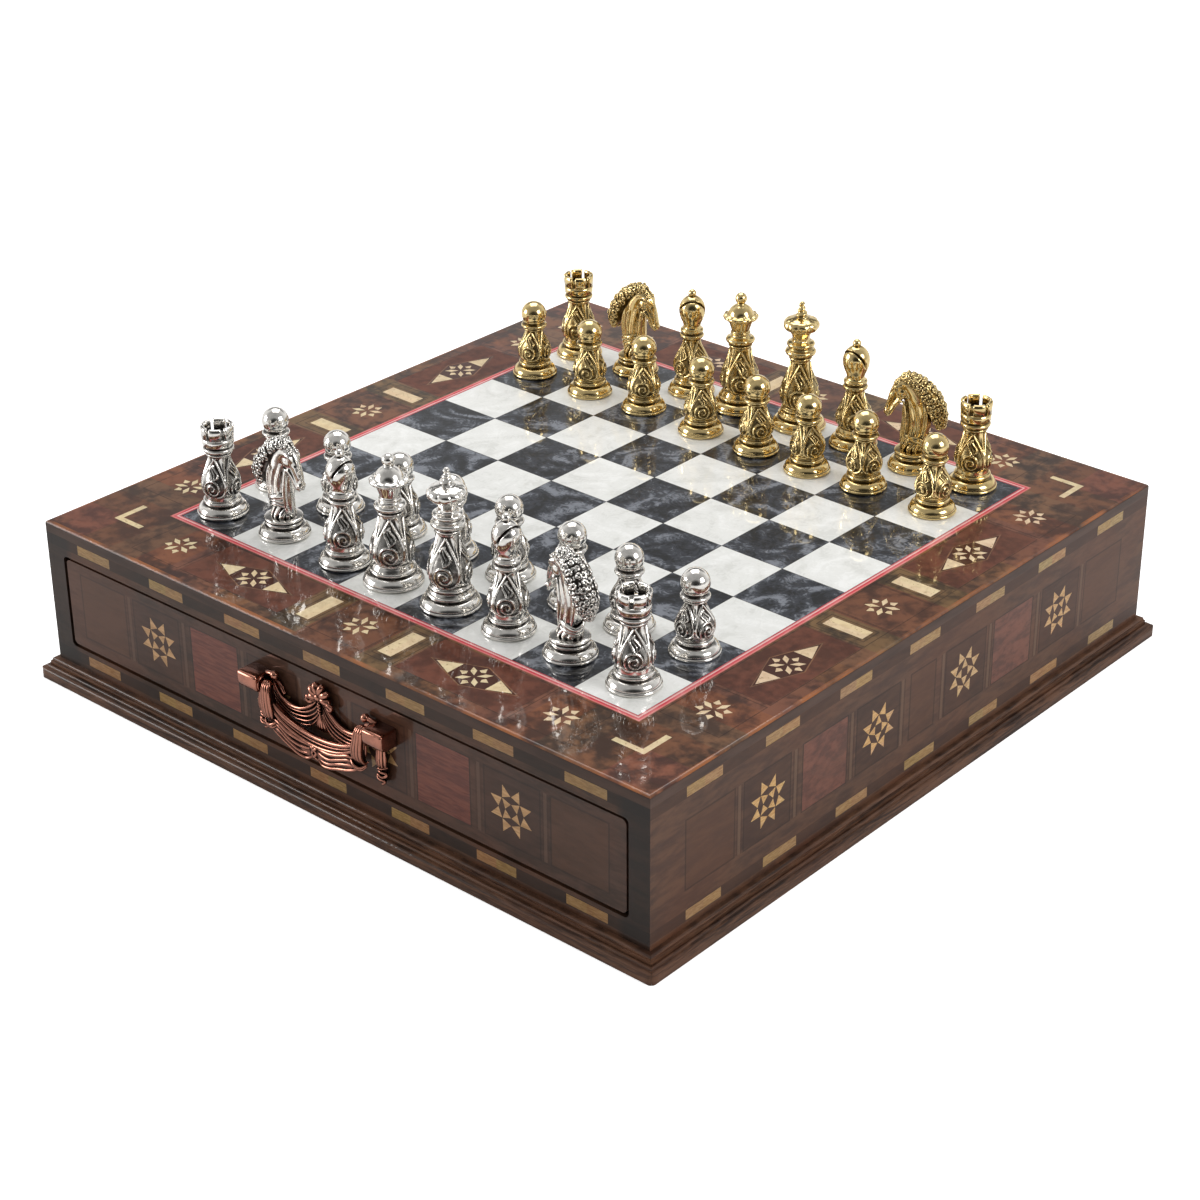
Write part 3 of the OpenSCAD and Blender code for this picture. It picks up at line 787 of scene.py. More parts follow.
@dataclass(frozen=True)
class Body:
    """Pear-shaped body of a piece, and the carving on it."""

    low: float
    high: float
    low_r: float
    wide_r: float
    neck_r: float
    panels: int = 4
    widest: float = 0.25
    row: float = 0.3
    turn: float = 0.0

    def outline(self) -> list[Point]:
        """Points of the body from the foot to the neck."""
        count = round((self.high - self.low) / self.row)
        return [(self.radius(k / count), self.low + (self.high - self.low) * k / count) for k in range(count + 1)]

    def radius(self, rise: float) -> float:
        """Radius at a share of the height."""
        if rise < self.widest:
            gap = (self.widest - rise) / self.widest
            return self.wide_r - (self.wide_r - self.low_r) * gap * gap
        fall = (rise - self.widest) / (1 - self.widest)
        return self.neck_r + (self.wide_r - self.neck_r) * (0.5 + 0.5 * math.cos(math.pi * fall))

    @property
    def full(self) -> float:
        """Half width of a drop-shaped panel where it is widest."""
        return 0.95 * self.wide_r * math.pi / self.panels

    def drop_half(self, rise: float) -> float:
        """Half width of the drop-shaped panel at a share of the height."""
        share = (rise - 0.02) / 0.95
        if not 0 < share < 1:
            return -1.0
        return self.full * 2.9 * math.sqrt(share) * (1 - share) ** 1.3

    def inside(self, x: float, h: float) -> list[float]:
        """Reliefs in a panel: a flame with a vein over a scroll.

        Args:
            x: distance from the middle line.
            h: height over the foot.

        Returns:
            Height of each of them.
        """
        tall, full = self.high - self.low, self.full
        found = []
        lean = (h / tall - 0.46) / 0.36
        if 0 < lean < 1:
            bend = x - 0.13 * full * math.sin(math.tau * lean)
            half = 0.3 * full * math.sin(math.pi * lean) * (1.2 - 0.6 * lean)
            found += [0.85 - ((abs(bend) - half) / 0.42) ** 2, 0.5 - (bend / 0.34) ** 2]
        reach = math.hypot(x, h - 0.25 * tall)
        sweep = (math.atan2(h - 0.25 * tall, x) + 0.5 * math.pi) % math.tau / math.tau
        for turn in (0.1, 0.42):
            found.append(0.85 - ((reach - (turn + 0.32 * sweep) * full) / 0.36) ** 2)
        return found

    def between(self, gap: float, room: float, h: float) -> list[float]:
        """Reliefs between two panels: a tongue from the neck and a ball at the foot.

        Args:
            gap: distance from the line between the panels.
            room: distance of the panel's rim from that line.
            h: height over the foot.

        Returns:
            Height of each of them.
        """
        tall = self.high - self.low
        found = [0.8 - (gap / 1.0) ** 2 - ((h - 0.09 * tall) / 1.0) ** 2]
        if h > 0.45 * tall and room > 0.3:
            found.append(0.8 - (gap / (0.5 * room)) ** 2)
        return found

    def ridge(self, angle: float, z: float) -> float:
        """Height of the carving from 0 in the ground to 1 on a rim.

        Args:
            angle: angle round the axis.
            z: height.

        Returns:
            The height.
        """
        tall = self.high - self.low
        rise = (z - self.low) / tall
        step = math.tau / self.panels
        radius = self.radius(rise)
        x = radius * ((angle - math.radians(self.turn) + step / 2) % step - step / 2)
        side, half = radius * step / 2, self.drop_half(rise)
        slope = (self.drop_half(rise + 0.01) - self.drop_half(rise - 0.01)) / (0.02 * tall)
        rim = abs(abs(x) - half) / math.sqrt(1 + min(slope * slope, 9.0))
        found = [1.0 - (rim / 0.5) ** 2] if half > 0 else []
        if abs(x) < half:
            found += self.inside(x, z - self.low)
        else:
            found += self.between(side - abs(x), side - max(half, 0.0), z - self.low)
        return max(0.0, *found)


def smooth_path(points: list[Row], count: int) -> list[Row]:
    """Points evenly along a smooth curve through given points.

    Args:
        points: points that the curve passes, with any number of values each.
        count: number of points wanted.

    Returns:
        The points of the curve.
    """
    padded = [points[0], *points, points[-1]]
    spans = len(points) - 1
    made = []
    for k in range(count):
        at = spans * k / (count - 1)
        span = min(int(at), spans - 1)
        t = at - span
        before, start, end, after = padded[span:span + 4]
        made.append(tuple(
            0.5 * (2 * b + (c - a) * t + (2 * a - 5 * b + 4 * c - d) * t * t + (3 * b - a - 3 * c + d) * t ** 3)
            for a, b, c, d in zip(before, start, end, after)
        ))
    return made


def mirrored(points: list[Row], side: int, out: float = 0.0) -> list[Row]:
    """Points on one side of the middle, set out along Y.

    Args:
        points: x, y, z and radii of each point, on the side of positive X.
        side: -1 or 1.
        out: what is added to Y.

    Returns:
        The moved points.
    """
    return [(side * x, y + out, *rest) for x, y, *rest in points]


# ---------- casting ----------


class Casting:
    """A mesh under construction, in millimetres."""

    def __init__(self) -> None:
        """Starts empty."""
        self.bm = bmesh.new()
        self.recess = self.bm.verts.layers.float.new("recess")

    def turn(self, outline: list[Point], steps: int, centre: Point = (0.0, 0.0)) -> list[bmesh.types.BMVert]:
        """Turns an outline of radius and height about a vertical axis.

        Args:
            outline: points from the bottom to the top.
            steps: faces round the axis.
            centre: place of the axis.

        Returns:
            The new vertices.
        """
        known = set(self.bm.verts)
        x, y = centre
        rim = [self.bm.verts.new((x + r, y, z)) for r, z in outline]
        edges = [self.bm.edges.new(pair) for pair in zip(rim, rim[1:])]
        bmesh.ops.spin(
            self.bm, geom=rim + edges, cent=(x, y, 0), axis=(0, 0, 1),
            angle=math.tau, steps=steps, use_merge=True, use_duplicate=False,
        )
        made = [v for v in self.bm.verts if v not in known]
        poles = [v for v in made if math.hypot(v.co.x - x, v.co.y - y) < 1e-4]
        bmesh.ops.remove_doubles(self.bm, verts=poles, dist=1e-3)
        return [v for v in self.bm.verts if v not in known]

    def ring(self, at: Vector, along: Vector, side: Vector, radii: Point, sides: int) -> list[bmesh.types.BMEdge]:
        """One oval ring across a path.

        Args:
            at: its middle.
            along: direction of the path.
            side: direction of its first radius, about.
            radii: its two radii.
            sides: number of its edges.

        Returns:
            The edges of the ring.
        """
        along = along.normalized()
        first = (side - along * side.dot(along)).normalized()
        second = along.cross(first)
        turn = Matrix((first * radii[0], second * radii[1], along)).transposed().to_4x4()
        turn.translation = at
        made = bmesh.ops.create_circle(self.bm, cap_ends=False, segments=sides, radius=1.0, matrix=turn)
        return list({e for v in made["verts"] for e in v.link_edges})

    def strand(
        self,
        points: list[Row],
        count: int = 14,
        sides: int = 8,
        side: Triple = Y_AXIS,
        depth: float = 0.0,
    ) -> None:
        """A smooth strand, thick where its points say.

        Args:
            points: x, y, z and one or two radii of each point.
            count: rings along it.
            sides: edges of a ring.
            side: direction of the first radius.
            depth: how dark its surface is, from 0 to 1; the backs behind other strands use it for painted shade.
        """
        known = set(self.bm.verts)
        path = smooth_path([p if len(p) == 5 else (*p, p[3]) for p in points], count)
        places = [Vector(p[:3]) for p in path]
        rings = []
        for k, p in enumerate(path):
            along = places[min(k + 1, count - 1)] - places[max(k - 1, 0)]
            radii = (max(p[3], 0.05), max(p[4], 0.05))
            rings.append(self.ring(places[k], along, Vector(side), radii, sides))
        for low, high in zip(rings, rings[1:]):
            bmesh.ops.bridge_loops(self.bm, edges=low + high)
        for cap in (rings[0], rings[-1]):
            bmesh.ops.edgeloop_fill(self.bm, edges=cap)
        for vert in self.bm.verts:
            if vert not in known:
                vert[self.recess] = depth

    def ball(self, at: Triple, radii: Triple, sides: int = 12, base: Matrix | None = None) -> None:
        """An oval ball.

        Args:
            at: its middle.
            radii: its radii along X, Y and Z.
            sides: faces round it.
            base: frame that it is placed in, if it isn't the casting's own.
        """
        turn = (base or Matrix()) @ Matrix.Translation(at) @ Matrix.Diagonal((*radii, 1.0))
        bmesh.ops.create_uvsphere(self.bm, u_segments=sides, v_segments=max(6, sides // 2), radius=1.0, matrix=turn)

    def prism(self, outline: list[Point], start: float, end: float, round_off: float) -> None:
        """An outline of Y and Z drawn along X, with its two ends rounded off.

        Args:
            outline: points of the outline.
            start: first X.
            end: last X.
            round_off: size of the rounding.
        """
        face = self.bm.faces.new([self.bm.verts.new((start, y, z)) for y, z in outline])
        made = bmesh.ops.extrude_face_region(self.bm, geom=[face], use_keep_orig=True)["geom"]
        far = [v for v in made if isinstance(v, bmesh.types.BMVert)]
        bmesh.ops.translate(self.bm, verts=far, vec=(end - start, 0, 0))
        cap = next(f for f in made if isinstance(f, bmesh.types.BMFace))
        bmesh.ops.bevel(
            self.bm, geom=[*face.edges, *cap.edges], offset=round_off, affect="EDGES",
            segments=5, profile=0.5, material=-1,
        )

    def mesh(self, name: str) -> Mesh:
        """Closes the casting and gives its mesh, still in millimetres.

        Args:
            name: name of the mesh.

        Returns:
            The mesh, shaded smooth.
        """
        bmesh.ops.recalc_face_normals(self.bm, faces=self.bm.faces)
        made = bpy.data.meshes.new(name)
        for face in self.bm.faces:
            face.smooth = True
        self.bm.to_mesh(made)
        self.bm.free()
        return made


def shade_and_patina(mesh: Mesh, reach: float, strength: float, rays: int = 9) -> None:
    """Adds painted shade and patina to the recess attribute where nearby surfaces shut a place in.

    Args:
        mesh: the mesh.
        reach: how far a surface counts as near.
        strength: recess of a place with half of its outlook shut.
        rays: number of directions tried.
    """
    bm = bmesh.new()
    bm.from_mesh(mesh)
    layer = bm.verts.layers.float.get("recess")
    tree = BVHTree.FromBMesh(bm)
    fan = [(math.tau * 0.618 * k, 0.25 + 0.72 * (k + 0.5) / rays) for k in range(rays)]
    for vert in bm.verts:
        side = vert.normal.orthogonal().normalized()
        other = vert.normal.cross(side)
        start = vert.co + vert.normal * 0.03
        shut = 0
        for turn, rise in fan:
            flat = math.sqrt(1 - rise * rise)
            way = vert.normal * rise + (side * math.cos(turn) + other * math.sin(turn)) * flat
            if tree.ray_cast(start, way, reach)[0] is not None:
                shut += 1
        # Painted shade and patina: the more of the outlook is shut, the darker.
        vert[layer] = min(1.0, vert[layer] + 2 * strength * shut / rays)
    bm.to_mesh(mesh)
    bm.free()


def finished(mesh: Mesh, name: str, place: Matrix, material: Material) -> bpy.types.Object:
    """Places a copy of a mesh, in metres, as an object at the origin.

    Args:
        mesh: the mesh in millimetres.
        name: name of the object.
        place: place of the copy, in millimetres.
        material: its material.

    Returns:
        The new object.
    """
    copy = mesh.copy()
    copy.name = name
    copy.transform(Matrix.Diagonal((MM, MM, MM, 1.0)) @ place)
    copy.materials.clear()
    copy.materials.append(material)
    obj = link(name, copy)
    LOG.info("built %s: %d faces", name, len(copy.polygons))
    return obj


# ---------- chess pieces ----------


class Kind(Enum):
    """The six kinds of chess pieces."""

    PAWN = "pawn"
    ROOK = "rook"
    KNIGHT = "knight"
    BISHOP = "bishop"
    QUEEN = "queen"
    KING = "king"


@dataclass(frozen=True)
class TurnedPiece:
    """A turned chess piece with a carved body."""

    kind: Kind
    foot_r: float
    body: Body
    steps: int = 160
    groove: float = 0.36
    rise: float = 0.6

    def below(self) -> list[Point]:
        """Outline under the body."""
        return foot(self.foot_r)

    def above(self) -> list[Point]:
        """Outline over the body."""
        return []

    def shape(self, vert: Vector, angle: float) -> Vector:
        """Place of a vertex off the body after carving; the plain piece keeps it."""
        return vert

    def add(self, casting: Casting) -> None:
        """Adds what isn't turned."""

    def carve(self, casting: Casting) -> None:
        """Carves the body and what lies over it."""
        low, high = self.body.low, self.body.high
        for vert in casting.bm.verts:
            co = vert.co
            radius = math.hypot(co.x, co.y)
            if radius < 0.4:
                continue
            angle = math.atan2(co.y, co.x)
            if low + 0.1 < co.z < high - 0.1:
                ease = min(1.0, (co.z - low) / 0.6, (high - co.z) / 0.6)
                ridge = self.body.ridge(angle, co.z)
                new = radius + ease * (self.rise * ridge - self.groove)
                co.x, co.y = co.x * new / radius, co.y * new / radius
                # Painted shade and patina on the carved ground between the ridges.
                vert[casting.recess] = 0.6 * ease * max(0.0, 1.0 - 2.4 * ridge)
            else:
                vert.co = self.shape(co, angle)

    def mesh(self) -> Mesh:
        """The finished mesh, in millimetres, standing at the origin."""
        casting = Casting()
        casting.turn([*self.below(), *self.body.outline(), *self.above()], self.steps)
        self.carve(casting)
        self.add(casting)
        made = casting.mesh(self.kind.value)
        # Painted shade and patina in the hollows.
        shade_and_patina(made, 1.4, 0.8)
        return made


@dataclass(frozen=True)
class Pawn(TurnedPiece):
    """Pawn: a ball over two rings."""

    def above(self) -> list[Point]:
        """Outline over the body."""
        return [
            *bead(4.1, 21.0, 0.45, 6), (3.9, 21.55), *bead(4.75, 22.4, 0.7), (3.9, 23.3), (4.0, 23.6), (4.6, 24.2),
            (4.75, 24.6), (4.55, 24.9), *dome(27.4, 5.3, -26, 24),
        ]


@dataclass(frozen=True)
class Rook(TurnedPiece):
    """Rook: a flared turret with six merlons."""

    merlons: int = 6
    notch: float = 15.0
    first: float = 20.0
    turret_r: float = 6.3
    wall: float = 1.5
    floor_z: float = 32.0
    top_z: float = 36.8

    def above(self) -> list[Point]:
        """Outline over the body, up to the floor of the turret."""
        inner, low = self.turret_r - self.wall, self.floor_z - 0.6
        return [
            *bead(4.5, 25.2, 0.6), (4.5, 26.0), *bead(5.1, 27.1, 0.95), (5.2, 28.2), (5.85, 28.8), (6.0, 29.0),
            (6.08, 30.5), (6.14, self.floor_z), (inner, self.floor_z), (inner, low), (0.0, low),
        ]

    def add(self, casting: Casting) -> None:
        """Adds the merlons: parts of a ring, closed at both ends."""
        inner = self.turret_r - self.wall
        corners = [
            (6.13, self.floor_z - 0.2), (self.turret_r + 0.1, self.top_z - 0.35), (self.turret_r - 0.3, self.top_z),
            (inner + 0.3, self.top_z), (inner, self.top_z - 0.35), (inner + 0.05, self.floor_z - 0.2),
        ]
        span = math.tau / self.merlons - math.radians(self.notch)
        for k in range(self.merlons):
            rim = [casting.bm.verts.new((r, 0, z)) for r, z in corners]
            edges = [casting.bm.edges.new(pair) for pair in zip(rim, rim[1:] + rim[:1])]
            start = Matrix.Rotation(math.tau * k / self.merlons + math.radians(self.first + self.notch / 2), 4, "Z")
            bmesh.ops.transform(casting.bm, matrix=start, verts=rim)
            made = bmesh.ops.spin(
                casting.bm, geom=rim + edges, cent=(0, 0, 0), axis=(0, 0, 1), angle=span,
                steps=10, use_merge=False, use_duplicate=False,
            )
            last = [e for e in made["geom_last"] if isinstance(e, bmesh.types.BMEdge)]
            bmesh.ops.edgeloop_fill(casting.bm, edges=edges)
            bmesh.ops.edgeloop_fill(casting.bm, edges=last)


@dataclass(frozen=True)
class Bishop(TurnedPiece):
    """Bishop: a slotted mitre with a small ball."""

    slot_half: float = 0.5
    slot_lean: float = 30.0

    def above(self) -> list[Point]:
        """Outline over the body."""
        mitre = [(5.5 * math.cos(math.radians(a)), 37.2 + 6.2 * math.sin(math.radians(a))) for a in range(0, 81, 3)]
        return [
            *bead(4.2, 25.8, 0.9), (3.9, 27.0), *bead(4.2, 28.1, 0.7), (3.6, 29.2), (3.7, 30.6), (4.1, 31.8),
            (4.6, 32.8), (5.0, 34.0), (5.3, 35.0), (5.4, 35.6), (5.45, 36.2), (5.48, 36.7),
            *mitre, (1.1, 43.2), *dome(44.3, 1.75, -48, 10),
        ]

    def carve(self, casting: Casting) -> None:
        """Carves the body, and cuts the slot of the mitre."""
        super().carve(casting)
        lean = math.radians(self.slot_lean)
        for vert in casting.bm.verts:
            co = vert.co
            gap = abs((co.x - 2.9) * math.cos(lean) - (co.z - 40.0) * math.sin(lean))
            if co.x < 0.3 or not 35.2 < co.z < 43.0 or gap > self.slot_half:
                continue
            sunk = 1 - 0.26 * math.sqrt(1 - (gap / self.slot_half) ** 2)
            vert.co = Vector((co.x * sunk, co.y * sunk, co.z))
            # Painted shade and patina inside the slot.
            vert[casting.recess] = 1.0


@dataclass(frozen=True)
class Queen(TurnedPiece):
    """Queen: a fluted cup with a scalloped brim, a dome and a ball."""

    flutes: int = 12

    def below(self) -> list[Point]:
        """Outline under the body."""
        return [*foot(self.foot_r), (7.2, 7.6)]

    def above(self) -> list[Point]:
        """Outline over the body."""
        cup = [(3.8 + 1.5 * (k / 8) ** 1.2, 35.0 + 4.6 * k / 8) for k in range(9)]
        return [
            *bead(4.5, 28.4, 0.5), (4.2, 29.3), *bead(4.9, 30.8, 1.2), (3.9, 32.4), (3.7, 33.2), *bead(3.7, 33.9, 0.45),
            *cup, *bead(6.55, 40.9, 0.85, 10), (5.6, 41.9), (5.3, 42.3), (5.0, 43.2), (4.5, 44.1), (3.8, 44.9),
            (2.9, 45.6), (2.0, 46.1), (1.6, 46.5), *dome(48.72, 2.48, -50, 16),
        ]

    def shape(self, vert: Vector, angle: float) -> Vector:
        """Flutes on the cup and waves on the brim."""
        if 35.0 < vert.z < 39.8:
            ease = math.sin(math.pi * (vert.z - 35.0) / 4.8)
            share = 1 + 0.05 * ease * (abs(math.cos(self.flutes / 2 * angle)) - 0.6)
            return Vector((vert.x * share, vert.y * share, vert.z))
        if 39.9 < vert.z < 42.2 and math.hypot(vert.x, vert.y) > 5.4:
            share = 0.96 + 0.04 * abs(math.cos(self.flutes / 2 * angle)) ** 0.6
            return Vector((vert.x * share, vert.y * share, vert.z + 0.12 * math.cos(self.flutes * angle)))
        return vert


@dataclass(frozen=True)
class King(TurnedPiece):
    """King: a lobed cushion crown and a leafy finial."""

    lobes: int = 9

    def below(self) -> list[Point]:
        """Outline under the body."""
        return [*foot(self.foot_r), *bead(6.9, 8.2, 0.6)]

    def above(self) -> list[Point]:
        """Outline over the body."""
        return [
            *bead(4.3, 30.6, 0.5), (4.4, 31.8), *bead(5.2, 33.2, 1.2, 10), (4.8, 35.0), *bead(4.9, 36.6, 0.9),
            (3.7, 37.9), (3.55, 38.7), (3.6, 39.4), (4.0, 40.6), (4.6, 41.6), (5.0, 42.2), *bead(5.1, 44.9, 2.4, 18),
            (4.6, 47.5), (3.6, 47.7), (2.6, 47.9), *[(self.tip_r(z), z) for z in [48.1 + 0.25 * k for k in range(26)]],
            (0.8, 54.6), (0.0, 54.8),
        ]

    def shape(self, vert: Vector, angle: float) -> Vector:
        """Lobes round the crown, flutes under it and leaves up the finial."""
        if 37.9 < vert.z < 42.6:
            share = 0.97 + 0.03 * math.cos(8 * angle)
        elif 42.4 <= vert.z < 47.8 and math.hypot(vert.x, vert.y) > 4.2:
            share = 0.93 + 0.07 * abs(math.cos(self.lobes / 2 * angle + 0.25 * (vert.z - 45))) ** 0.6
        elif vert.z >= 48:
            share = 0.84 + 0.16 * math.cos(angle - math.tau * (vert.z - 48) / 2.1)
        else:
            return vert
        return Vector((vert.x * share, vert.y * share, vert.z))

    def tip_r(self, z: float) -> float:
        """Radius of the twisted finial, which ends in a small bud."""
        share = (z - 48.0) / 6.6
        return 2.6 * (1 - share) ** 0.8 + 0.35 + 0.65 * math.exp(-((z - 54.0) / 0.6) ** 2)


@dataclass(frozen=True)
class Knight:
    """Knight: a horse's head with a curled mane on a turned foot, facing +X."""

    kind: Kind = Kind.KNIGHT
    foot_r: float = 10.0
    voxel: float = 0.34
    rounds: tuple[tuple[Triple, Triple], ...] = (
        ((5.3, 1.3, 31.8), (2.2, 1.6, 2.6)),
        ((7.6, 2.0, 33.1), (0.95, 0.7, 0.8)),
        ((11.2, 1.05, 23.4), (0.9, 0.8, 1.0)),
    )
    lines: tuple[tuple[Row, ...], ...] = (
        ((3.6, 1.5, 37.4, 1.15), (3.2, 2.0, 39.4, 1.0), (3.7, 1.9, 40.8, 0.2)),
        ((5.4, 2.2, 35.2, 0.6), (7.6, 2.4, 34.7, 0.65), (9.0, 1.6, 32.4, 0.3)),
        ((11.2, 0.9, 21.3, 0.5), (9.6, 1.2, 22.8, 0.75), (8.0, 1.4, 26.2, 0.9), (5.8, 1.6, 29.0, 1.2)),
        ((9.4, 1.5, 31.0, 0.5), (10.6, 1.2, 27.4, 0.5), (11.6, 0.7, 24.6, 0.3)),
        (
            (4.0, 1.6, 9.6, 0.6), (3.6, 1.9, 14.0, 0.9), (3.4, 1.9, 20.0, 0.95), (4.0, 1.8, 26.4, 0.75),
            (4.6, 1.8, 29.0, 0.3),
        ),
        (
            (1.4, 2.8, 9.8, 0.6), (1.2, 2.7, 14.5, 0.85), (0.4, 2.5, 20.0, 0.95), (1.4, 2.4, 26.0, 0.75),
            (2.6, 2.3, 30.0, 0.3),
        ),
        (
            (-1.2, 2.9, 10.0, 0.6), (-1.9, 2.7, 14.5, 0.85), (-2.6, 2.5, 20.0, 0.95), (-1.8, 2.5, 26.0, 0.75),
            (0.4, 2.5, 31.4, 0.3),
        ),
        (
            (-3.0, 2.2, 11.0, 0.6), (-4.3, 2.0, 15.5, 0.85), (-5.2, 1.9, 20.5, 0.95), (-4.8, 2.0, 26.0, 0.75),
            (-3.0, 2.2, 31.0, 0.3),
        ),
    )
    crest: tuple[Row, ...] = (
        (4.6, 0, 38.0, 1.6, 1.4), (1.8, 0, 37.6, 2.9, 2.4), (-1.8, 0, 35.6, 3.9, 3.1), (-5.0, 0, 32.3, 4.5, 3.6),
        (-7.4, 0, 28.6, 4.6, 3.9), (-9.0, 0, 24.8, 4.2, 3.8), (-10.0, 0, 21.6, 3.0, 2.9), (-10.6, 0, 19.2, 1.4, 1.5),
    )

    def neck(self) -> list[Row]:
        """Middle line of neck and head: x, y, z, half thickness and half depth."""
        return [
            (0.0, 0, 7.4, 4.0, 4.4), (0.0, 0, 9.5, 3.3, 3.9), (-0.4, 0, 12.5, 3.1, 4.1), (-1.0, 0, 16.0, 3.1, 4.9),
            (-1.6, 0, 20.5, 2.9, 5.4), (-1.6, 0, 25.0, 2.8, 5.3), (-0.8, 0, 29.4, 2.9, 4.9), (0.8, 0, 33.0, 2.9, 4.3),
            (3.1, 0, 35.3, 2.9, 3.7), (5.8, 0, 34.6, 2.6, 3.0), (7.8, 0, 31.6, 2.2, 2.5), (9.3, 0, 28.0, 1.7, 1.95),
            (10.4, 0, 24.8, 1.5, 1.6), (11.0, 0, 22.8, 1.45, 1.5), (11.1, 0, 21.6, 0.8, 1.0),
        ]

    def features(self, casting: Casting, side: int) -> None:
        """One side of the face and of the neck: cheek, eye, nostril, ear, brow, jaw, cheekbone and long folds.

        Args:
            casting: the casting under construction.
            side: -1 or 1.
        """
        for at, radii in self.rounds:
            casting.ball((at[0], side * at[1], at[2]), radii, 18)
        for path in self.lines:
            casting.strand([(x, side * y, z, r) for x, y, z, r in path], 14, 10)

    def core(self) -> Mesh:
        """Neck, cheeks, ears and nose fused into one skin."""
        casting = Casting()
        casting.strand(self.neck(), 44, 24)
        for side in (-1, 1):
            self.features(casting, side)
        casting.strand([(4.6, 0, 9.5, 0.9), (4.5, 0, 14.0, 1.2), (4.0, 0, 19.5, 1.2), (4.2, 0, 26.0, 0.9)], 12, 10)
        raw = casting.mesh("neck_raw")
        holder = link("neck_raw", raw)
        skin = holder.modifiers.new("skin", "REMESH")
        skin.mode, skin.voxel_size = "VOXEL", self.voxel
        soft = holder.modifiers.new("soft", "SMOOTH")
        soft.iterations = 3
        graph = bpy.context.evaluated_depsgraph_get()
        made = bpy.data.meshes.new_from_object(holder.evaluated_get(graph))
        bpy.data.objects.remove(holder)
        return made

    def curl(self, casting: Casting, at: Vector, out: Vector, wide: float, start: float) -> None:
        """A small snail-like curl that stands on a surface.

        Args:
            casting: the casting under construction.
            at: its place.
            out: way out of the surface.
            wide: radius of its outer turn.
            start: angle at which it starts.
        """
        first = out.cross(Vector((0.4, 0.2, 1.0))).normalized()
        second = out.cross(first)
        points = []
        for n in range(13):
            angle, reach = start + 0.62 * n, wide * (1 - 0.058 * n)
            place = at + first * (reach * math.cos(angle)) + second * (reach * math.sin(angle)) + out * (0.05 * n - 0.1)
            points.append((*place, 0.36 + 0.2 * math.sin(math.pi * (n + 1) / 14)))
        casting.strand(points, 20, 6)

    def mane(self, casting: Casting) -> None:
        """Woolly mane from the forehead back and down to the middle of the neck, over a mass painted dark as shade
        between the curls.
        """
        # The mass under the curls is painted dark as shade.
        casting.strand(list(self.crest), 30, 16, depth=0.7)
        rows = 15
        line = smooth_path(list(self.crest), rows)
        for k, (x, _, z, thick, deep) in enumerate(line):
            ahead = Vector(line[min(k + 1, rows - 1)][:3]) - Vector(line[max(k - 1, 0)][:3])
            back = ahead.normalized().cross(Vector((0, 1, 0)))
            back = back if back.dot(Vector((-0.8, 0, 0.6))) > 0 else -back
            for n in range(-4, 5):
                turn = math.radians(27 * n + (13 if k % 2 else 0))
                out = back * math.cos(turn) + Vector((0, math.sin(turn), 0))
                lift = 0.92 + 0.1 * math.sin(3.1 * k + 2.2 * n)
                at = Vector((x, thick * lift * math.sin(turn), z)) + back * (deep * lift * math.cos(turn))
                self.curl(casting, at, out.normalized(), 1.12 + 0.3 * math.sin(2.3 * k + 1.7 * n), 1.9 * k + 2.6 * n)
        for side in (-1, 1):
            for n in range(3):
                at = Vector((5.4 + 1.2 * n, side * (0.9 + 0.2 * n), 38.2 - 1.1 * n))
                self.curl(casting, at, Vector((0.6, 0.5 * side, 0.6)).normalized(), 0.8, 1.3 * n)

    def leaves(self, casting: Casting) -> None:
        """Pleats that rise from the disc round the foot of the neck, and the folded sash over them."""
        for k in range(11):
            turn = math.tau * k / 11 + 0.2
            out, twist = (math.cos(turn), math.sin(turn)), (math.cos(turn + 0.35), math.sin(turn + 0.35))
            up = 1 + 0.3 * math.sin(3 * turn)
            casting.strand([
                (4.8 * out[0], 4.3 * out[1], 7.7, 0.8, 0.5), (4.5 * out[0], 4.0 * out[1], 9.4, 1.1, 0.65),
                (4.2 * twist[0] - 0.3, 3.4 * twist[1], 9.8 + 2.2 * up, 0.95, 0.55),
                (4.1 * twist[0] - 0.6, 3.1 * twist[1], 9.8 + 4.0 * up, 0.3, 0.2),
            ], 12, 9, side=(-out[1], out[0], 0.0))
        for k in range(3):
            high, wide = 11.2 + 1.6 * k, 4.25 + 0.3 * k
            ring = []
            for n in range(13):
                turn = math.tau * n / 12
                lift = 2.2 * math.cos(turn + 0.9) + 0.4 * math.sin(3 * turn + 1.4 * k)
                tall = 1.2 + 0.25 * math.sin(2 * turn + 2 * k)
                ring.append((-0.6 - 0.3 * k + wide * math.cos(turn), 3.3 * math.sin(turn), high + lift, tall, 0.75))
            casting.strand(ring, 44, 10, side=Z_AXIS)
        for side in (-1, 1):
            casting.strand([
                (3.7, side * 1.5, 15.0, 0.7, 0.4), (4.2, side * 1.3, 12.4, 1.1, 0.6),
                (4.6, side * 0.8, 10.0, 0.9, 0.6), (4.9, side * 0.1, 8.2, 0.3, 0.3),
            ], 12, 9)

    def mesh(self) -> Mesh:
        """The finished mesh, in millimetres, standing at the origin."""
        casting = Casting()
        casting.turn([
            *foot(self.foot_r)[:-2], (6.2, 6.4), (6.3, 6.6), *bead(6.9, 7.2, 0.55, 8), (6.6, 7.8), (5.6, 7.95),
            (0.0, 8.0),
        ], 112)
        self.mane(casting)
        self.leaves(casting)
        casting.bm.from_mesh(self.core())
        made = casting.mesh(self.kind.value)
        # Painted shade and patina in the hollows.
        shade_and_patina(made, 1.6, 0.85)
        return made


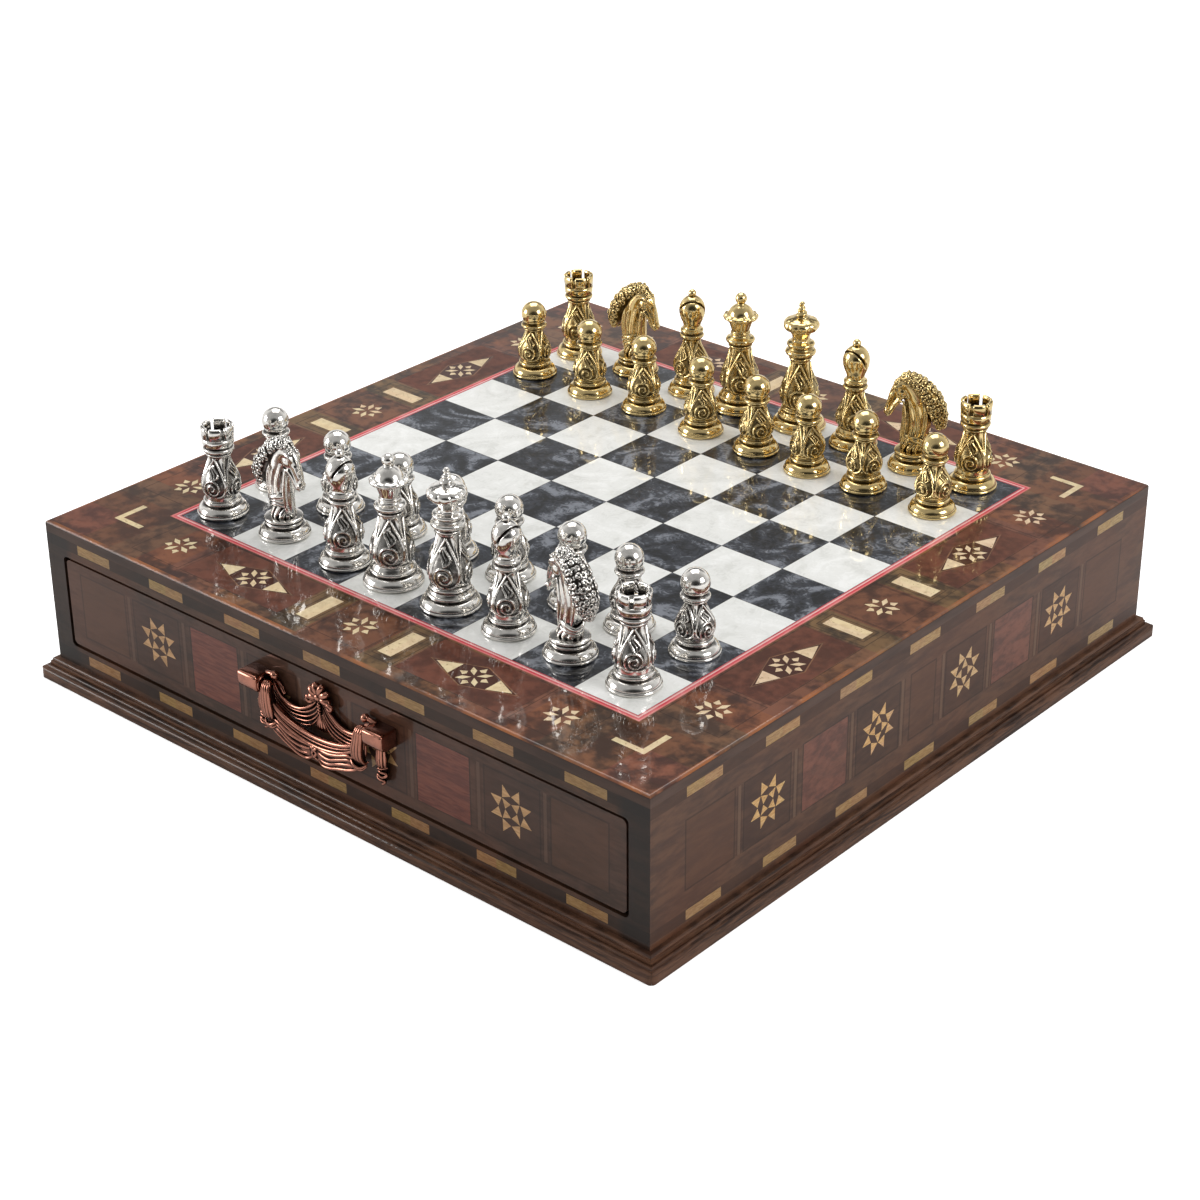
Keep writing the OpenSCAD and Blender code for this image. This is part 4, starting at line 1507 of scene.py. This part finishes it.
@dataclass(frozen=True)
class Side:
    """One player's sixteen pieces: where and how they stand."""

    name: str
    metal: CastMetal
    pawn_rank: int
    officer_rank: int
    pawn_shifts: tuple[Point, ...]
    officer_shifts: tuple[Point, ...]
    headings: tuple[float, ...]
    lift: float = 0.1

    def officers(self) -> list[Kind]:
        """Kinds on the officers' rank, by file."""
        wing = [Kind.ROOK, Kind.KNIGHT, Kind.BISHOP]
        return [*wing, Kind.QUEEN, Kind.KING, *wing[::-1]]

    def stand(self, file: int, rank: int, shift: Point, heading: float) -> Matrix:
        """Place of a piece on its square."""
        x = (file - 3.5) * SQUARE + shift[0]
        y = (rank - 3.5) * SQUARE + shift[1]
        return Matrix.Translation((x, y, TOP_Z + self.lift)) @ Matrix.Rotation(math.radians(heading), 4, "Z")

    def build(self, meshes: dict[Kind, Mesh], slot: str) -> None:
        """Sets up the sixteen pieces.

        Args:
            meshes: a mesh of each kind.
            slot: name of the record's material slot; not used.
        """
        material = self.metal.material()
        for file, officer in enumerate(self.officers()):
            for kind, rank, shift, heading in (
                (Kind.PAWN, self.pawn_rank, self.pawn_shifts[file], 20.0 + 9.0 * file),
                (officer, self.officer_rank, self.officer_shifts[file], self.headings[file]),
            ):
                name = f"{self.name}_{kind.value}_{FILES[file]}"
                obj = finished(meshes[kind], f"cast_{name}", self.stand(file, rank, shift, heading), material)
                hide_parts(name)
                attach(obj, name)


# ---------- handle ----------


@dataclass(frozen=True)
class Handle:
    """Drop handle of a drawer: a plate with two knuckles and a draped swag, and a swinging bail.

    Places are X along the drawer, Y out of its face, and Z over the bail's pivot.
    """

    post_x: float = 32.0
    face_y: float = 152.2
    pivot_z: float = 45.0
    pivot_out: float = 4.6
    knuckle_half: float = 4.9
    ring_r: float = 2.6
    rail_end: float = 25.2
    swag_lines: tuple[tuple[Point, ...], ...] = (
        ((1.6, 1.6), (4.2, -1.2), (8.0, -3.9), (12.0, -5.3), (16.5, -5.2), (20.5, -3.9), (23.6, -0.8), (25.0, 2.0)),
        ((1.0, 0.4), (3.6, -2.8), (7.6, -5.5), (12.0, -6.7), (16.5, -6.7), (20.8, -5.0), (24.6, -1.6), (27.6, 0.6)),
        ((0.7, -1.0), (3.0, -4.2), (7.0, -7.0), (11.6, -8.2), (16.4, -8.2), (21.0, -6.2), (25.0, -2.8), (28.0, -0.4)),
        ((0.6, -2.2), (2.6, -5.6), (6.4, -8.6), (11.2, -9.8), (16.2, -9.6), (21.2, -7.4), (25.4, -3.8), (28.0, -1.4)),
        (
            (0.6, -3.4), (2.2, -6.8), (5.6, -10.0), (10.6, -11.3), (16.0, -11.0), (21.4, -8.6), (25.6, -4.8),
            (28.0, -2.2),
        ),
    )
    hem: tuple[Triple, ...] = (
        (-2.2, 2.0, -14.6), (0.2, 3.0, -14.9), (2.1, 2.4, -15.2), (2.5, 2.3, -16.2), (0.8, 3.0, -16.9),
        (-1.2, 2.8, -16.4), (-1.9, 2.4, -17.2), (-0.6, 2.9, -18.2), (1.2, 2.7, -18.2), (1.6, 2.3, -19.2),
        (0.2, 2.3, -20.2),
    )
    # Drop, offset out, half thickness and darkness of each cord; the broad cord set back is painted dark as shade in
    # the groove.
    rail_cords: tuple[tuple[float, float, float, float], ...] = (
        (11.6, 0.8, 0.85, 0.0), (13.4, 0.9, 0.42, 0.0), (13.0, -0.3, 1.35, 0.4), (14.9, 1.2, 0.75, 0.0),
    )

    def knuckle(self, casting: Casting, side: int) -> None:
        """Block over a pin, its rim round the pin, and a small scroll on the inner side.

        Args:
            casting: the plate under construction.
            side: -1 or 1.
        """
        outline = [(0.0, 3.9), *arc(7.3, 2.7, 1.2, 90, 0, 4), *arc(4.9, 0.1, 3.5, 0, -90, 8), (0.0, -3.4)]
        x, inner = side * self.post_x, self.post_x - self.knuckle_half
        casting.prism(outline, x - self.knuckle_half, x + self.knuckle_half, 1.1)
        ring = [
            (inner + 0.3, self.pivot_out - 0.3 + self.ring_r * math.cos(a), 0.2 + self.ring_r * math.sin(a), 0.6)
            for a in [math.radians(t) for t in range(-200, 120, 20)]
        ]
        casting.strand(mirrored(ring, side), 30, 8, side=X_AXIS)
        casting.strand(mirrored([
            (inner + 1.0, 1.6, 2.9, 1.2, 1.1), (inner - 1.4, 1.9, 3.8, 1.1, 1.0), (inner - 3.2, 2.1, 4.1, 0.9, 0.9),
        ], side), 10, 12)
        casting.ball((side * (inner - 3.9), 2.2, 4.0), (1.75, 1.7, 1.7), 18)
        casting.strand(mirrored([
            (inner - 0.5, 1.0, 2.0, 1.0, 1.4), (22.6, 0.9, -0.4, 0.9, 1.6), (20.0, 0.8, -3.4, 0.8, 1.2),
        ], side), 10, 10)

    def swag(self, casting: Casting) -> None:
        """Draped cloth between the knot and the knuckles: a roll over four cords, before a thin back painted dark as
        shade.
        """
        for side in (-1, 1):
            for row, line in enumerate(self.swag_lines):
                path = []
                for n, (x, z) in enumerate(line):
                    bow = math.sin(math.pi * n / (len(line) - 1))
                    thick = (0.38 + 0.42 * bow) if row == 0 else (0.28 + 0.15 * bow)
                    path.append((side * x, 1.25 + 0.75 * bow + (0.3 if row == 0 else 0.08 * row), z, thick, thick))
                casting.strand(path, 26, 9)
            top, low = self.swag_lines[0], self.swag_lines[-1]
            # Thin back behind the cords, painted dark as shade.
            shaded_back_web = [
                (side * (a[0] + b[0]) / 2, 0.75, (a[1] + b[1]) / 2, 0.8, abs(a[1] - b[1]) / 2 + 0.1)
                for a, b in zip(top, low)
            ]
            casting.strand(shaded_back_web, 18, 10, depth=0.6)

    def knot(self, casting: Casting) -> None:
        """Gathered ribbon over the swag: rolled lobes, side scrolls, a twisted cord and a small tassel."""
        hub, reach = 3.8, 3.1
        for k in range(6):
            lean = math.radians(190 - 40 * k)
            middle = Matrix.Translation((reach * math.cos(lean), 2.3, hub + reach * math.sin(lean)))
            casting.ball((0, 0, 0), (2.7, 1.8, 1.5), 20, middle @ Matrix.Rotation(-lean, 4, "Y"))
        casting.ball((0, 2.9, hub), (1.7, 1.3, 1.5), 16)
        for side in (-1, 1):
            casting.strand(mirrored([
                (1.0, 1.8, 2.6, 0.6), (3.2, 2.6, 2.0, 0.75), (5.4, 2.8, 2.4, 0.85), (6.3, 2.5, 1.2, 0.85),
                (5.4, 2.3, 0.0, 0.75), (4.2, 2.3, 0.4, 0.6), (4.3, 2.4, 1.3, 0.4),
            ], side), 30, 10)
            casting.strand(mirrored([
                (0.8, 1.5, 3.0, 0.4), (2.4, 2.0, 1.6, 0.65), (4.0, 1.7, 0.2, 0.6), (4.6, 1.3, -1.0, 0.25),
            ], side), 12, 8)
        for k in range(7):
            turn = Matrix.Translation((0.0, 2.3, 4.4 - 1.2 * k)) @ Matrix.Rotation(0.5, 4, "Y")
            casting.ball((0, 0, 0), (1.05 - 0.04 * k, 0.85, 0.52), 10, turn)
        for k in range(-2, 3):
            out = 2.5 - 0.14 * k * k
            casting.strand([
                (0.2 * k, out - 0.5, -3.9, 0.35), (0.55 * k, out, -6.0, 0.52),
                (0.95 * k, out + 0.1, -8.6, 0.5), (1.25 * k, out - 0.3, -10.5, 0.28),
            ], 12, 8)
        # Flat back behind the knot and tassel, painted dark as shade.
        casting.strand([
            (0, 0.9, 5, 2.6, 1.0), (0, 0.9, 1.0, 1.6, 1.0), (0, 0.9, -4, 0.9, 0.8), (0, 1.1, -9.6, 2.4, 0.8),
        ], 10, 10, side=X_AXIS, depth=0.7)

    def tassel(self, casting: Casting, side: int) -> None:
        """Fluted cloth that hangs from a knuckle, with a band and a folded hem.

        Args:
            casting: the plate under construction.
            side: -1 or 1.
        """
        x = side * (self.post_x - 1.8)
        for k in range(-2, 3):
            out = 2.9 - 0.22 * k * k
            casting.strand([
                (x + 0.75 * k, out - 0.3, -2.6, 0.55), (x + 0.8 * k, out, -6.0, 0.6),
                (x + 1.05 * k, out + 0.3, -10.4, 0.68), (x + 0.95 * k, out, -13.0, 0.5),
            ], 14, 8)
        casting.strand([(x - 2.5, 1.4, -13.1, 0.4), (x, 3.3, -13.5, 0.5), (x + 2.5, 1.4, -13.1, 0.4)], 10, 8)
        casting.strand([(x + across, out, z, 0.52) for across, out, z in self.hem], 44, 8)
        # Flat back behind the flutes, painted dark as shade.
        casting.strand([
            (x, 1.3, -2.6, 1.9, 1.0), (x, 1.5, -10, 2.4, 1.2), (x, 1.4, -16, 2.2, 1.1), (x, 1.2, -20.0, 1.0, 0.8),
        ], 12, 10, side=X_AXIS, depth=0.7)

    def rail_z(self, x: float, drop: float) -> float:
        """Height of an oval rail that hangs between the pivots."""
        return -drop * math.sqrt(max(0.0, 1 - (x / self.rail_end) ** 2))

    def rails(self, casting: Casting) -> None:
        """Smooth grooved upper rail of the bail, from pivot to pivot."""
        y = self.pivot_out
        xs = [24.2 * math.sin(math.radians(t)) for t in range(-90, 91, 10)]
        for drop, out, half, dark in self.rail_cords:
            casting.strand([(x, y + out, self.rail_z(x, drop), half) for x in xs], 52, 10, depth=dark)

    def drapery(self, casting: Casting) -> None:
        """Cloth under the rail: long waving folds from the gather in the middle to both ends."""
        y = self.pivot_out
        upper = [(1.0, -15.6), (4.0, -15.4), (8.0, -14.6), (12.5, -13.6), (17.0, -12.4), (20.5, -11.6), (23.6, -10.4)]
        lower = [(1.0, -18.6), (3.4, -21.2), (7.4, -21.0), (12.0, -20.0), (17.0, -18.3), (21.0, -16.2), (24.4, -13.4)]
        folds = 4
        for side in (-1, 1):
            for k in range(folds):
                share = k / (folds - 1)
                phase, swell = 0.5 * k + (0.9 if side > 0 else 0), 0.7 * math.sin(math.pi * (0.2 + 0.6 * share))
                path = []
                for n, (a, b) in enumerate(zip(upper, lower)):
                    wave = swell * math.sin(1.7 * n + phase) * math.sin(math.pi * (n + 0.3) / 6.6)
                    bow = math.sin(math.pi * min(1.0, (n + 0.6) / 6.8))
                    x, z = a[0] + (b[0] - a[0]) * share, a[1] + (b[1] - a[1]) * share + wave
                    path.append((side * x, y + 0.5 + (1 - 0.5 * share) * bow, z, 0.5 + 0.72 * bow, 0.4 + 0.45 * bow))
                casting.strand(path, 40, 9)
            # Cloth behind the folds, painted dark as shade.
            skin = [
                (side * (a[0] + b[0]) / 2, y + 0.4, (a[1] + b[1]) / 2, 1.45, (a[1] - b[1]) / 2 + 0.2)
                for a, b in zip(upper, lower)
            ]
            casting.strand(skin, 24, 12, depth=0.45)
            for out, radius, line in (
                (0.2, 0.7, ((20.0, -15.4), (23.6, -12.4), (25.2, -8.2), (25.2, -4.8))),
                (0.9, 0.6, ((19.5, -13.4), (22.8, -11.2), (24.8, -7.6), (25.2, -3.6))),
            ):
                casting.strand([(side * x, y + out, z, radius) for x, z in line], 14, 9)
        for turn in (-1, 1):
            casting.strand(mirrored([
                (1.7, 1.0, -14.6, 0.4), (0.7, 1.7, -15.9, 0.65), (-0.9, 1.5, -17.2, 0.6),
                (-0.5, 1.6, -18.6, 0.6), (0.9, 1.3, -19.8, 0.55), (1.5, 0.6, -21.0, 0.35),
            ], turn, y), 24, 9)
        casting.ball((0, y + 1.3, -15.4), (1.3, 0.9, 0.9), 12)

    def loops(self, casting: Casting) -> None:
        """Cloth loops over the two ends of the bail, gathered at their feet, and the pins."""
        y = self.pivot_out
        for side in (-1, 1):
            for k in (-1.5, -0.5, 0.5, 1.5):
                top, low = 24.1 + 0.85 * k, 22.9 + 1.3 * k
                out = 0.14 * k * k
                casting.strand(mirrored([
                    (top, -1.4, -1.4, 0.45), (top, -1.2, 0.9, 0.5), (top, 0.4, 2.0 - out, 0.68),
                    (top + (low - top) * 0.2, 2.1 - out, 0.2, 0.7), (top + (low - top) * 0.6, 2.7 - out, -4.0, 0.76),
                    (low, 2.8 - out, -7.8, 0.8), (low, 2.2 - out, -10.8, 0.7), (low + 0.5, 0.8, -12.4, 0.5),
                    (low + 0.8, -0.6, -12.0, 0.35),
                ], side, y), 34, 10)
            # Back inside each loop, painted dark as shade.
            casting.strand(mirrored([
                (24.4, 0, 0.4, 2.0, 1.7), (23.6, 0.4, -4.4, 2.3, 1.9), (22.6, 0.5, -8.8, 3.0, 1.9),
                (22.4, 0, -12.6, 2.4, 1.3),
            ], side, y), 12, 12, side=X_AXIS, depth=0.75)
            for fold in (0, 1):
                casting.strand(mirrored([
                    (18.8, 1.2, -12.0 - 1.2 * fold, 0.4), (21.0, 2.4 - 0.5 * fold, -13.6 - 1.3 * fold, 0.6),
                    (24.0, 2.0 - 0.5 * fold, -14.3 - 0.9 * fold, 0.55), (26.0, 0.6, -12.8 - 0.5 * fold, 0.35),
                ], side, y), 14, 9)
            for start, end, radius, sides in ((22.6, 26.4, 1.7, 16), (25.0, 30.6, 1.2, 12)):
                casting.strand([(side * x, y, 0, radius) for x in (start, end)], 4, sides, side=Z_AXIS)

    def plate_mesh(self) -> Mesh:
        """Mesh of the fixed part."""
        casting = Casting()
        self.swag(casting)
        self.knot(casting)
        for side in (-1, 1):
            self.knuckle(casting, side)
            self.tassel(casting, side)
        made = casting.mesh("handle_plate")
        # Painted shade and patina in the hollows.
        shade_and_patina(made, 2.4, 1.0)
        return made

    def bail_mesh(self) -> Mesh:
        """Mesh of the swinging part."""
        casting = Casting()
        self.rails(casting)
        self.drapery(casting)
        self.loops(casting)
        made = casting.mesh("handle_bail")
        # Painted shade and patina in the hollows.
        shade_and_patina(made, 2.4, 1.0)
        return made

    def place(self, at: str) -> Matrix:
        """Place of the handle on the front or the rear drawer."""
        way = -1 if at == "front" else 1
        return Matrix.Translation((0, way * self.face_y, self.pivot_z)) @ Matrix.Diagonal((-way, way, 1, 1))


# ---------- sub-assemblies ----------


@dataclass(frozen=True)
class Cabinet:
    """Box with its veneers, playing field and plinth."""

    def dress(self) -> None:
        """Gives each node of the box its finish."""
        dress(TopVeneer(
            "top_veneer", "825637", "422a1b", (1.0, 1.0, 1.0), 48.0, ripple=0.00003, patches=0.35, spread=(0.4, 0.6),
        ), "top_panel")
        dress(WallVeneer(
            "side_veneer", "5a3f2f", "422e25", (4.0, 1.0, 4.0), axis=1, deep="332018", panel="4f3324",
            strip="6a513f", strength=0.8, gloss=0.3,
        ), "left_side", "right_side")
        dress(WallVeneer(
            "end_veneer", "4b3325", "322218", (1.0, 4.0, 4.0), axis=0, deep="211610", panel="4c3020",
            corner=0.75, gloss=0.3,
        ), "front_frame", "rear_frame")
        dress(Wood(
            "plinth_wood", "654735", "30211a", (1.0, 1.0, 22.0), 30.0, gloss=0.3, ripple=0.00004, patches=0.15,
        ), "plinth_moulding")
        dress(Wood(
            "inner_wood", "a5835c", "7e5d3c", (1.0, 6.0, 6.0), 30.0, gloss=0.0, roughness=0.6,
        ), "partition", "bottom_panel", "drawer_guides")
        dress(Pearl("white_pearl", "e2e2dd", "efefeb", "f9f9f6", "55524c"), "light_squares")
        dress(Pearl("black_pearl", "18191c", "33363d", "80848c", "0c0c0d", spread=(0.4, 0.5, 0.63)), "dark_squares")
        dress(Stringing("red_stringing"), "border_stringing")
        dress(Chips("maple_chips", "d6bd8e", "b39261"), "maple_inlays")
        dress(Wood(
            "rosewood_veneer", "6e4030", "4c2a1f", (1.0, 1.0, 2.2), 60.0, gloss=0.5, patch="5a3a2a",
        ), "rosewood_inlays")


@dataclass(frozen=True)
class Drawer:
    """One drawer with its handle."""

    place: str

    def dress(self) -> None:
        """Gives the wooden and cloth parts their finishes."""
        place = self.place
        dress(WallVeneer(
            f"{place}_face_veneer", "4a3328", "34241b", (1.0, 4.0, 4.0), axis=0, deep="38241b", panel="503424",
            strip="5e4638", strength=0.7, gloss=0.36,
        ), f"{place}_drawer_face")
        dress(FaceInlays(f"{place}_face_inlays"), f"{place}_drawer_inlays")
        dress(Wood(
            f"{place}_tray_wood", "b08c60", "8a6640", (6.0, 1.0, 6.0), 26.0, gloss=0.0, roughness=0.55,
        ), f"{place}_drawer_tray")
        dress(Velvet(f"{place}_velvet", "3c0f18", "7a2733"), f"{place}_drawer_lining")
        dress(PlainSteel(f"{place}_screw_steel"), f"{place}_handle_screws")

    def build(self, handle: Handle, plate: Mesh, bail: Mesh, metal: Material) -> None:
        """Hangs the handle on the drawer.

        Args:
            handle: sizes of the handle.
            plate: mesh of the fixed part.
            bail: mesh of the swinging part.
            metal: their material.
        """
        for mesh, part, body in ((plate, "plate", "drawer"), (bail, "bail", "bail")):
            name = f"{self.place}_handle_{part}"
            obj = finished(mesh, f"cast_{name}", handle.place(self.place), metal)
            obj.data.flip_normals()
            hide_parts(name)
            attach(obj, f"{self.place}_{body}")


@dataclass(frozen=True)
class ChessSet:
    """Both players' pieces."""

    def build(self) -> None:
        """Makes a mesh of each kind, and sets up both sides with copies."""
        meshes = {piece.kind: piece.mesh() for piece in kinds()}
        finish = metals()
        Side(
            "silver", finish["silver"], 1, 0,
            ((-6.8, 0.6), (-1.9, 1.3), (1.4, 2.8), (0.5, 1.8), (-0.6, 3.2), (2.4, 2.0), (0.4, 2.0), (0.9, 2.9)),
            ((-5.0, -1.3), (-2.2, 1.4), (3.3, -0.1), (-1.4, 1.1), (-1.2, 1.2), (-1.5, 1.2), (-1.9, 2.0), (-0.2, 0.5)),
            (20, 0, 0, 38, 28, -6, 170, 42),
        ).build(meshes, "antique_silver")
        Side(
            "gold", finish["gold"], 6, 7,
            ((-5.5, 2.8), (-2.9, 2.9), (-3.4, 4.8), (0.1, 2.9), (-0.2, 3.3), (-2.1, 1.9), (-4.8, 4.2), (-0.7, 4.3)),
            ((-5.4, 2.5), (-3.4, 4.2), (0.0, 3.0), (-3.1, 3.2), (-1.9, 4.8), (-2.6, 4.6), (-0.9, 2.9), (-1.8, 4.0)),
            (30, 5, -50, 42, 36, -92, 205, 25),
        ).build(meshes, "antique_gold")


def kinds() -> list[TurnedPiece | Knight]:
    """One chess piece of each kind."""
    return [
        Pawn(Kind.PAWN, 9.5, Body(7.4, 20.4, 6.2, 7.1, 3.7)),
        Rook(Kind.ROOK, 10.0, Body(8.0, 24.4, 6.4, 7.6, 4.2)),
        Bishop(Kind.BISHOP, 10.0, Body(8.0, 24.2, 6.4, 7.6, 3.6, turn=-45.0)),
        Queen(Kind.QUEEN, 11.4, Body(8.2, 27.4, 7.0, 8.3, 4.5)),
        King(Kind.KING, 11.4, Body(9.2, 29.4, 6.7, 8.2, 4.2)),
        Knight(),
    ]


def metals() -> dict[str, CastMetal]:
    """The three cast metals."""
    return {
        "silver": CastMetal("antique_silver", (0.88, 0.85, 0.8, 1.0), (0.04, 0.034, 0.03, 1.0), 0.12),
        "gold": CastMetal("antique_gold", (0.84, 0.64, 0.3, 1.0), (0.1, 0.062, 0.018, 1.0), 0.12),
        "copper": CastMetal("antique_copper", (0.46, 0.2, 0.14, 1.0), (0.018, 0.008, 0.006, 1.0), 0.15),
    }


# ---------- studio ----------


@dataclass(frozen=True)
class Studio:
    """Pale floor, soft light and the camera."""

    floor_half: float = 4.0
    floor_glow: float = 0.68
    eye: Triple = (0.62472, -0.70827, 0.52995)
    azimuth: float = 39.684
    tilt: float = 62.258
    roll: float = 0.4635
    lens: float = 80.77
    shift: Point = (-0.0656, -0.0152)
    backdrop: Point = (-0.6385, 0.7696)
    lamps: tuple[tuple[str, Triple, float, float], ...] = (
        ("top_light", (-0.5, 0.5, 1.5), 1.2, 11.0),
        ("left_light", (-1.3, -1.1, 0.45), 0.7, 14.0),
        ("right_light", (1.4, 0.2, 0.8), 0.7, 12.0),
    )
    round_levels: tuple[Point, ...] = (
        (-1.0, 0.03), (-0.86, 0.06), (-0.68, 0.46), (0.0, 0.56), (0.5, 0.95), (1.0, 1.0),
    )
    roof_levels: tuple[Point, ...] = (
        (-1.0, 1.0), (0.22, 1.0), (0.36, 0.5), (0.45, 0.14), (0.6, 0.16), (0.72, 0.8), (1.0, 0.75),
    )
    open_levels: tuple[Point, ...] = ((-1.0, 1.0), (0.3, 0.95), (1.0, 0.75))
    open_share: tuple[Point, ...] = ((-1.0, 1.0), (0.55, 1.0), (0.74, 0.0), (1.0, 0.0))

    def build(self) -> None:
        """Sets up everything that isn't the object."""
        self.camera()
        self.floor()
        self.world()
        for lamp in self.lamps:
            self.lamp(*lamp)
        LOG.info("studio ready")

    def camera(self) -> None:
        """The camera."""
        data = bpy.data.cameras.new("camera")
        data.lens, data.sensor_width = self.lens, 36.0
        data.shift_x, data.shift_y = self.shift
        data.clip_start, data.clip_end = 0.01, 50.0
        eye = link("camera", data)
        turns = ((self.azimuth, "Z"), (self.tilt, "X"), (self.roll, "Z"))
        turn = Matrix.Identity(4)
        for angle, axis in turns:
            turn = turn @ Matrix.Rotation(math.radians(angle), 4, axis)
        eye.matrix_world = Matrix.Translation(self.eye) @ turn
        bpy.context.scene.camera = eye

    def floor(self) -> None:
        """White floor that keeps the shadow of the object."""
        bm = bmesh.new()
        bmesh.ops.create_grid(bm, x_segments=1, y_segments=1, size=self.floor_half)
        mesh = bpy.data.meshes.new("floor")
        bm.to_mesh(mesh)
        bm.free()
        graph = Graph("floor_paper")
        fibres = graph.noise(graph.place(), 60.0, 3.0)
        graph.set(
            Base_Color=graph.mix(fibres, (0.86, 0.86, 0.86, 1.0), (0.9, 0.9, 0.9, 1.0)),
            Roughness=0.9,
            Specular_IOR_Level=0.0,
        )
        seen = graph.tree.nodes.new("ShaderNodeLightPath").outputs["Is Camera Ray"]
        graph.set(Emission_Color=WHITE, Emission_Strength=graph.math("MULTIPLY", seen, self.floor_glow))
        mesh.materials.append(graph.material)
        obj = link("floor", mesh)
        obj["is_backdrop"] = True

    def world(self) -> None:
        """White surroundings, darker above and behind the camera."""
        world = bpy.data.worlds.new("studio")
        bpy.context.scene.world = world
        world.use_nodes = True
        tree = world.node_tree
        nodes, links = tree.nodes, tree.links
        nodes.clear()
        output = nodes.new("ShaderNodeOutputWorld")
        room = nodes.new("ShaderNodeBackground")
        white = nodes.new("ShaderNodeBackground")
        white.inputs["Color"].default_value = WHITE
        way = nodes.new("ShaderNodeTexCoord").outputs["Generated"]
        ahead = nodes.new("ShaderNodeVectorMath")
        ahead.operation = "DOT_PRODUCT"
        links.new(way, ahead.inputs[0])
        ahead.inputs[1].default_value = (*self.backdrop, 0.0)
        split = nodes.new("ShaderNodeSeparateXYZ")
        links.new(way, split.inputs[0])
        level = self.curve(tree, ahead.outputs["Value"], self.round_levels)
        roof = nodes.new("ShaderNodeMix")
        roof.data_type = "RGBA"
        links.new(self.curve(tree, ahead.outputs["Value"], self.open_share), roof.inputs["Factor"])
        links.new(self.curve(tree, split.outputs[2], self.roof_levels), roof.inputs[6])
        links.new(self.curve(tree, split.outputs[2], self.open_levels), roof.inputs[7])
        both = nodes.new("ShaderNodeMix")
        both.data_type, both.blend_type = "RGBA", "MULTIPLY"
        both.inputs["Factor"].default_value = 1.0
        links.new(level, both.inputs[6])
        links.new(roof.outputs[2], both.inputs[7])
        links.new(both.outputs[2], room.inputs["Color"])
        path = nodes.new("ShaderNodeLightPath")
        mix = nodes.new("ShaderNodeMixShader")
        links.new(path.outputs["Is Camera Ray"], mix.inputs[0])
        links.new(room.outputs[0], mix.inputs[1])
        links.new(white.outputs[0], mix.inputs[2])
        links.new(mix.outputs[0], output.inputs["Surface"])

    def curve(self, tree: bpy.types.NodeTree, value: Socket, levels: tuple[Point, ...]) -> Socket:
        """Grey that follows a value from -1 to 1.

        Args:
            tree: node tree.
            value: the value.
            levels: pairs of a value and its grey.

        Returns:
            The colour socket.
        """
        half = tree.nodes.new("ShaderNodeMath")
        half.operation = "MULTIPLY_ADD"
        tree.links.new(value, half.inputs[0])
        half.inputs[1].default_value = half.inputs[2].default_value = 0.5
        node = tree.nodes.new("ShaderNodeValToRGB")
        for element, (place, grey) in zip(node.color_ramp.elements, (levels[0], levels[-1])):
            element.position, element.color = (place + 1) / 2, (grey, grey, grey, 1.0)
        for place, grey in levels[1:-1]:
            node.color_ramp.elements.new((place + 1) / 2).color = (grey, grey, grey, 1.0)
        tree.links.new(half.outputs[0], node.inputs[0])
        return node.outputs[0]

    def lamp(self, name: str, at: Triple, size: float, power: float) -> None:
        """A square soft lamp that points at the box.

        Args:
            name: its name.
            at: its place.
            size: its width.
            power: its power in watts.
        """
        data = bpy.data.lights.new(name, "AREA")
        data.size, data.energy = size, power
        obj = link(name, data)
        look = (Vector((0, 0, 0.05)) - Vector(at)).to_track_quat("-Z", "Y")
        obj.matrix_world = Matrix.Translation(at) @ look.to_matrix().to_4x4()


def corners() -> list[list[float]]:
    """Lowest and highest corner of what is shown, as plain lists."""
    return [list(corner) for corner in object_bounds()]


def main() -> None:
    """Builds the studio and the object."""
    logging.basicConfig(level=logging.INFO, format="%(name)s: %(message)s")
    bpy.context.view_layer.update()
    bpy.context.scene.view_settings.view_transform = "Standard"
    Studio().build()
    Cabinet().dress()
    handle = Handle()
    plate, bail = handle.plate_mesh(), handle.bail_mesh()
    copper = metals()["copper"].material()
    for place in ("front", "rear"):
        drawer = Drawer(place)
        drawer.dress()
        drawer.build(handle, plate, bail, copper)
    ChessSet().build()


if __name__ == "__main__":
    main()
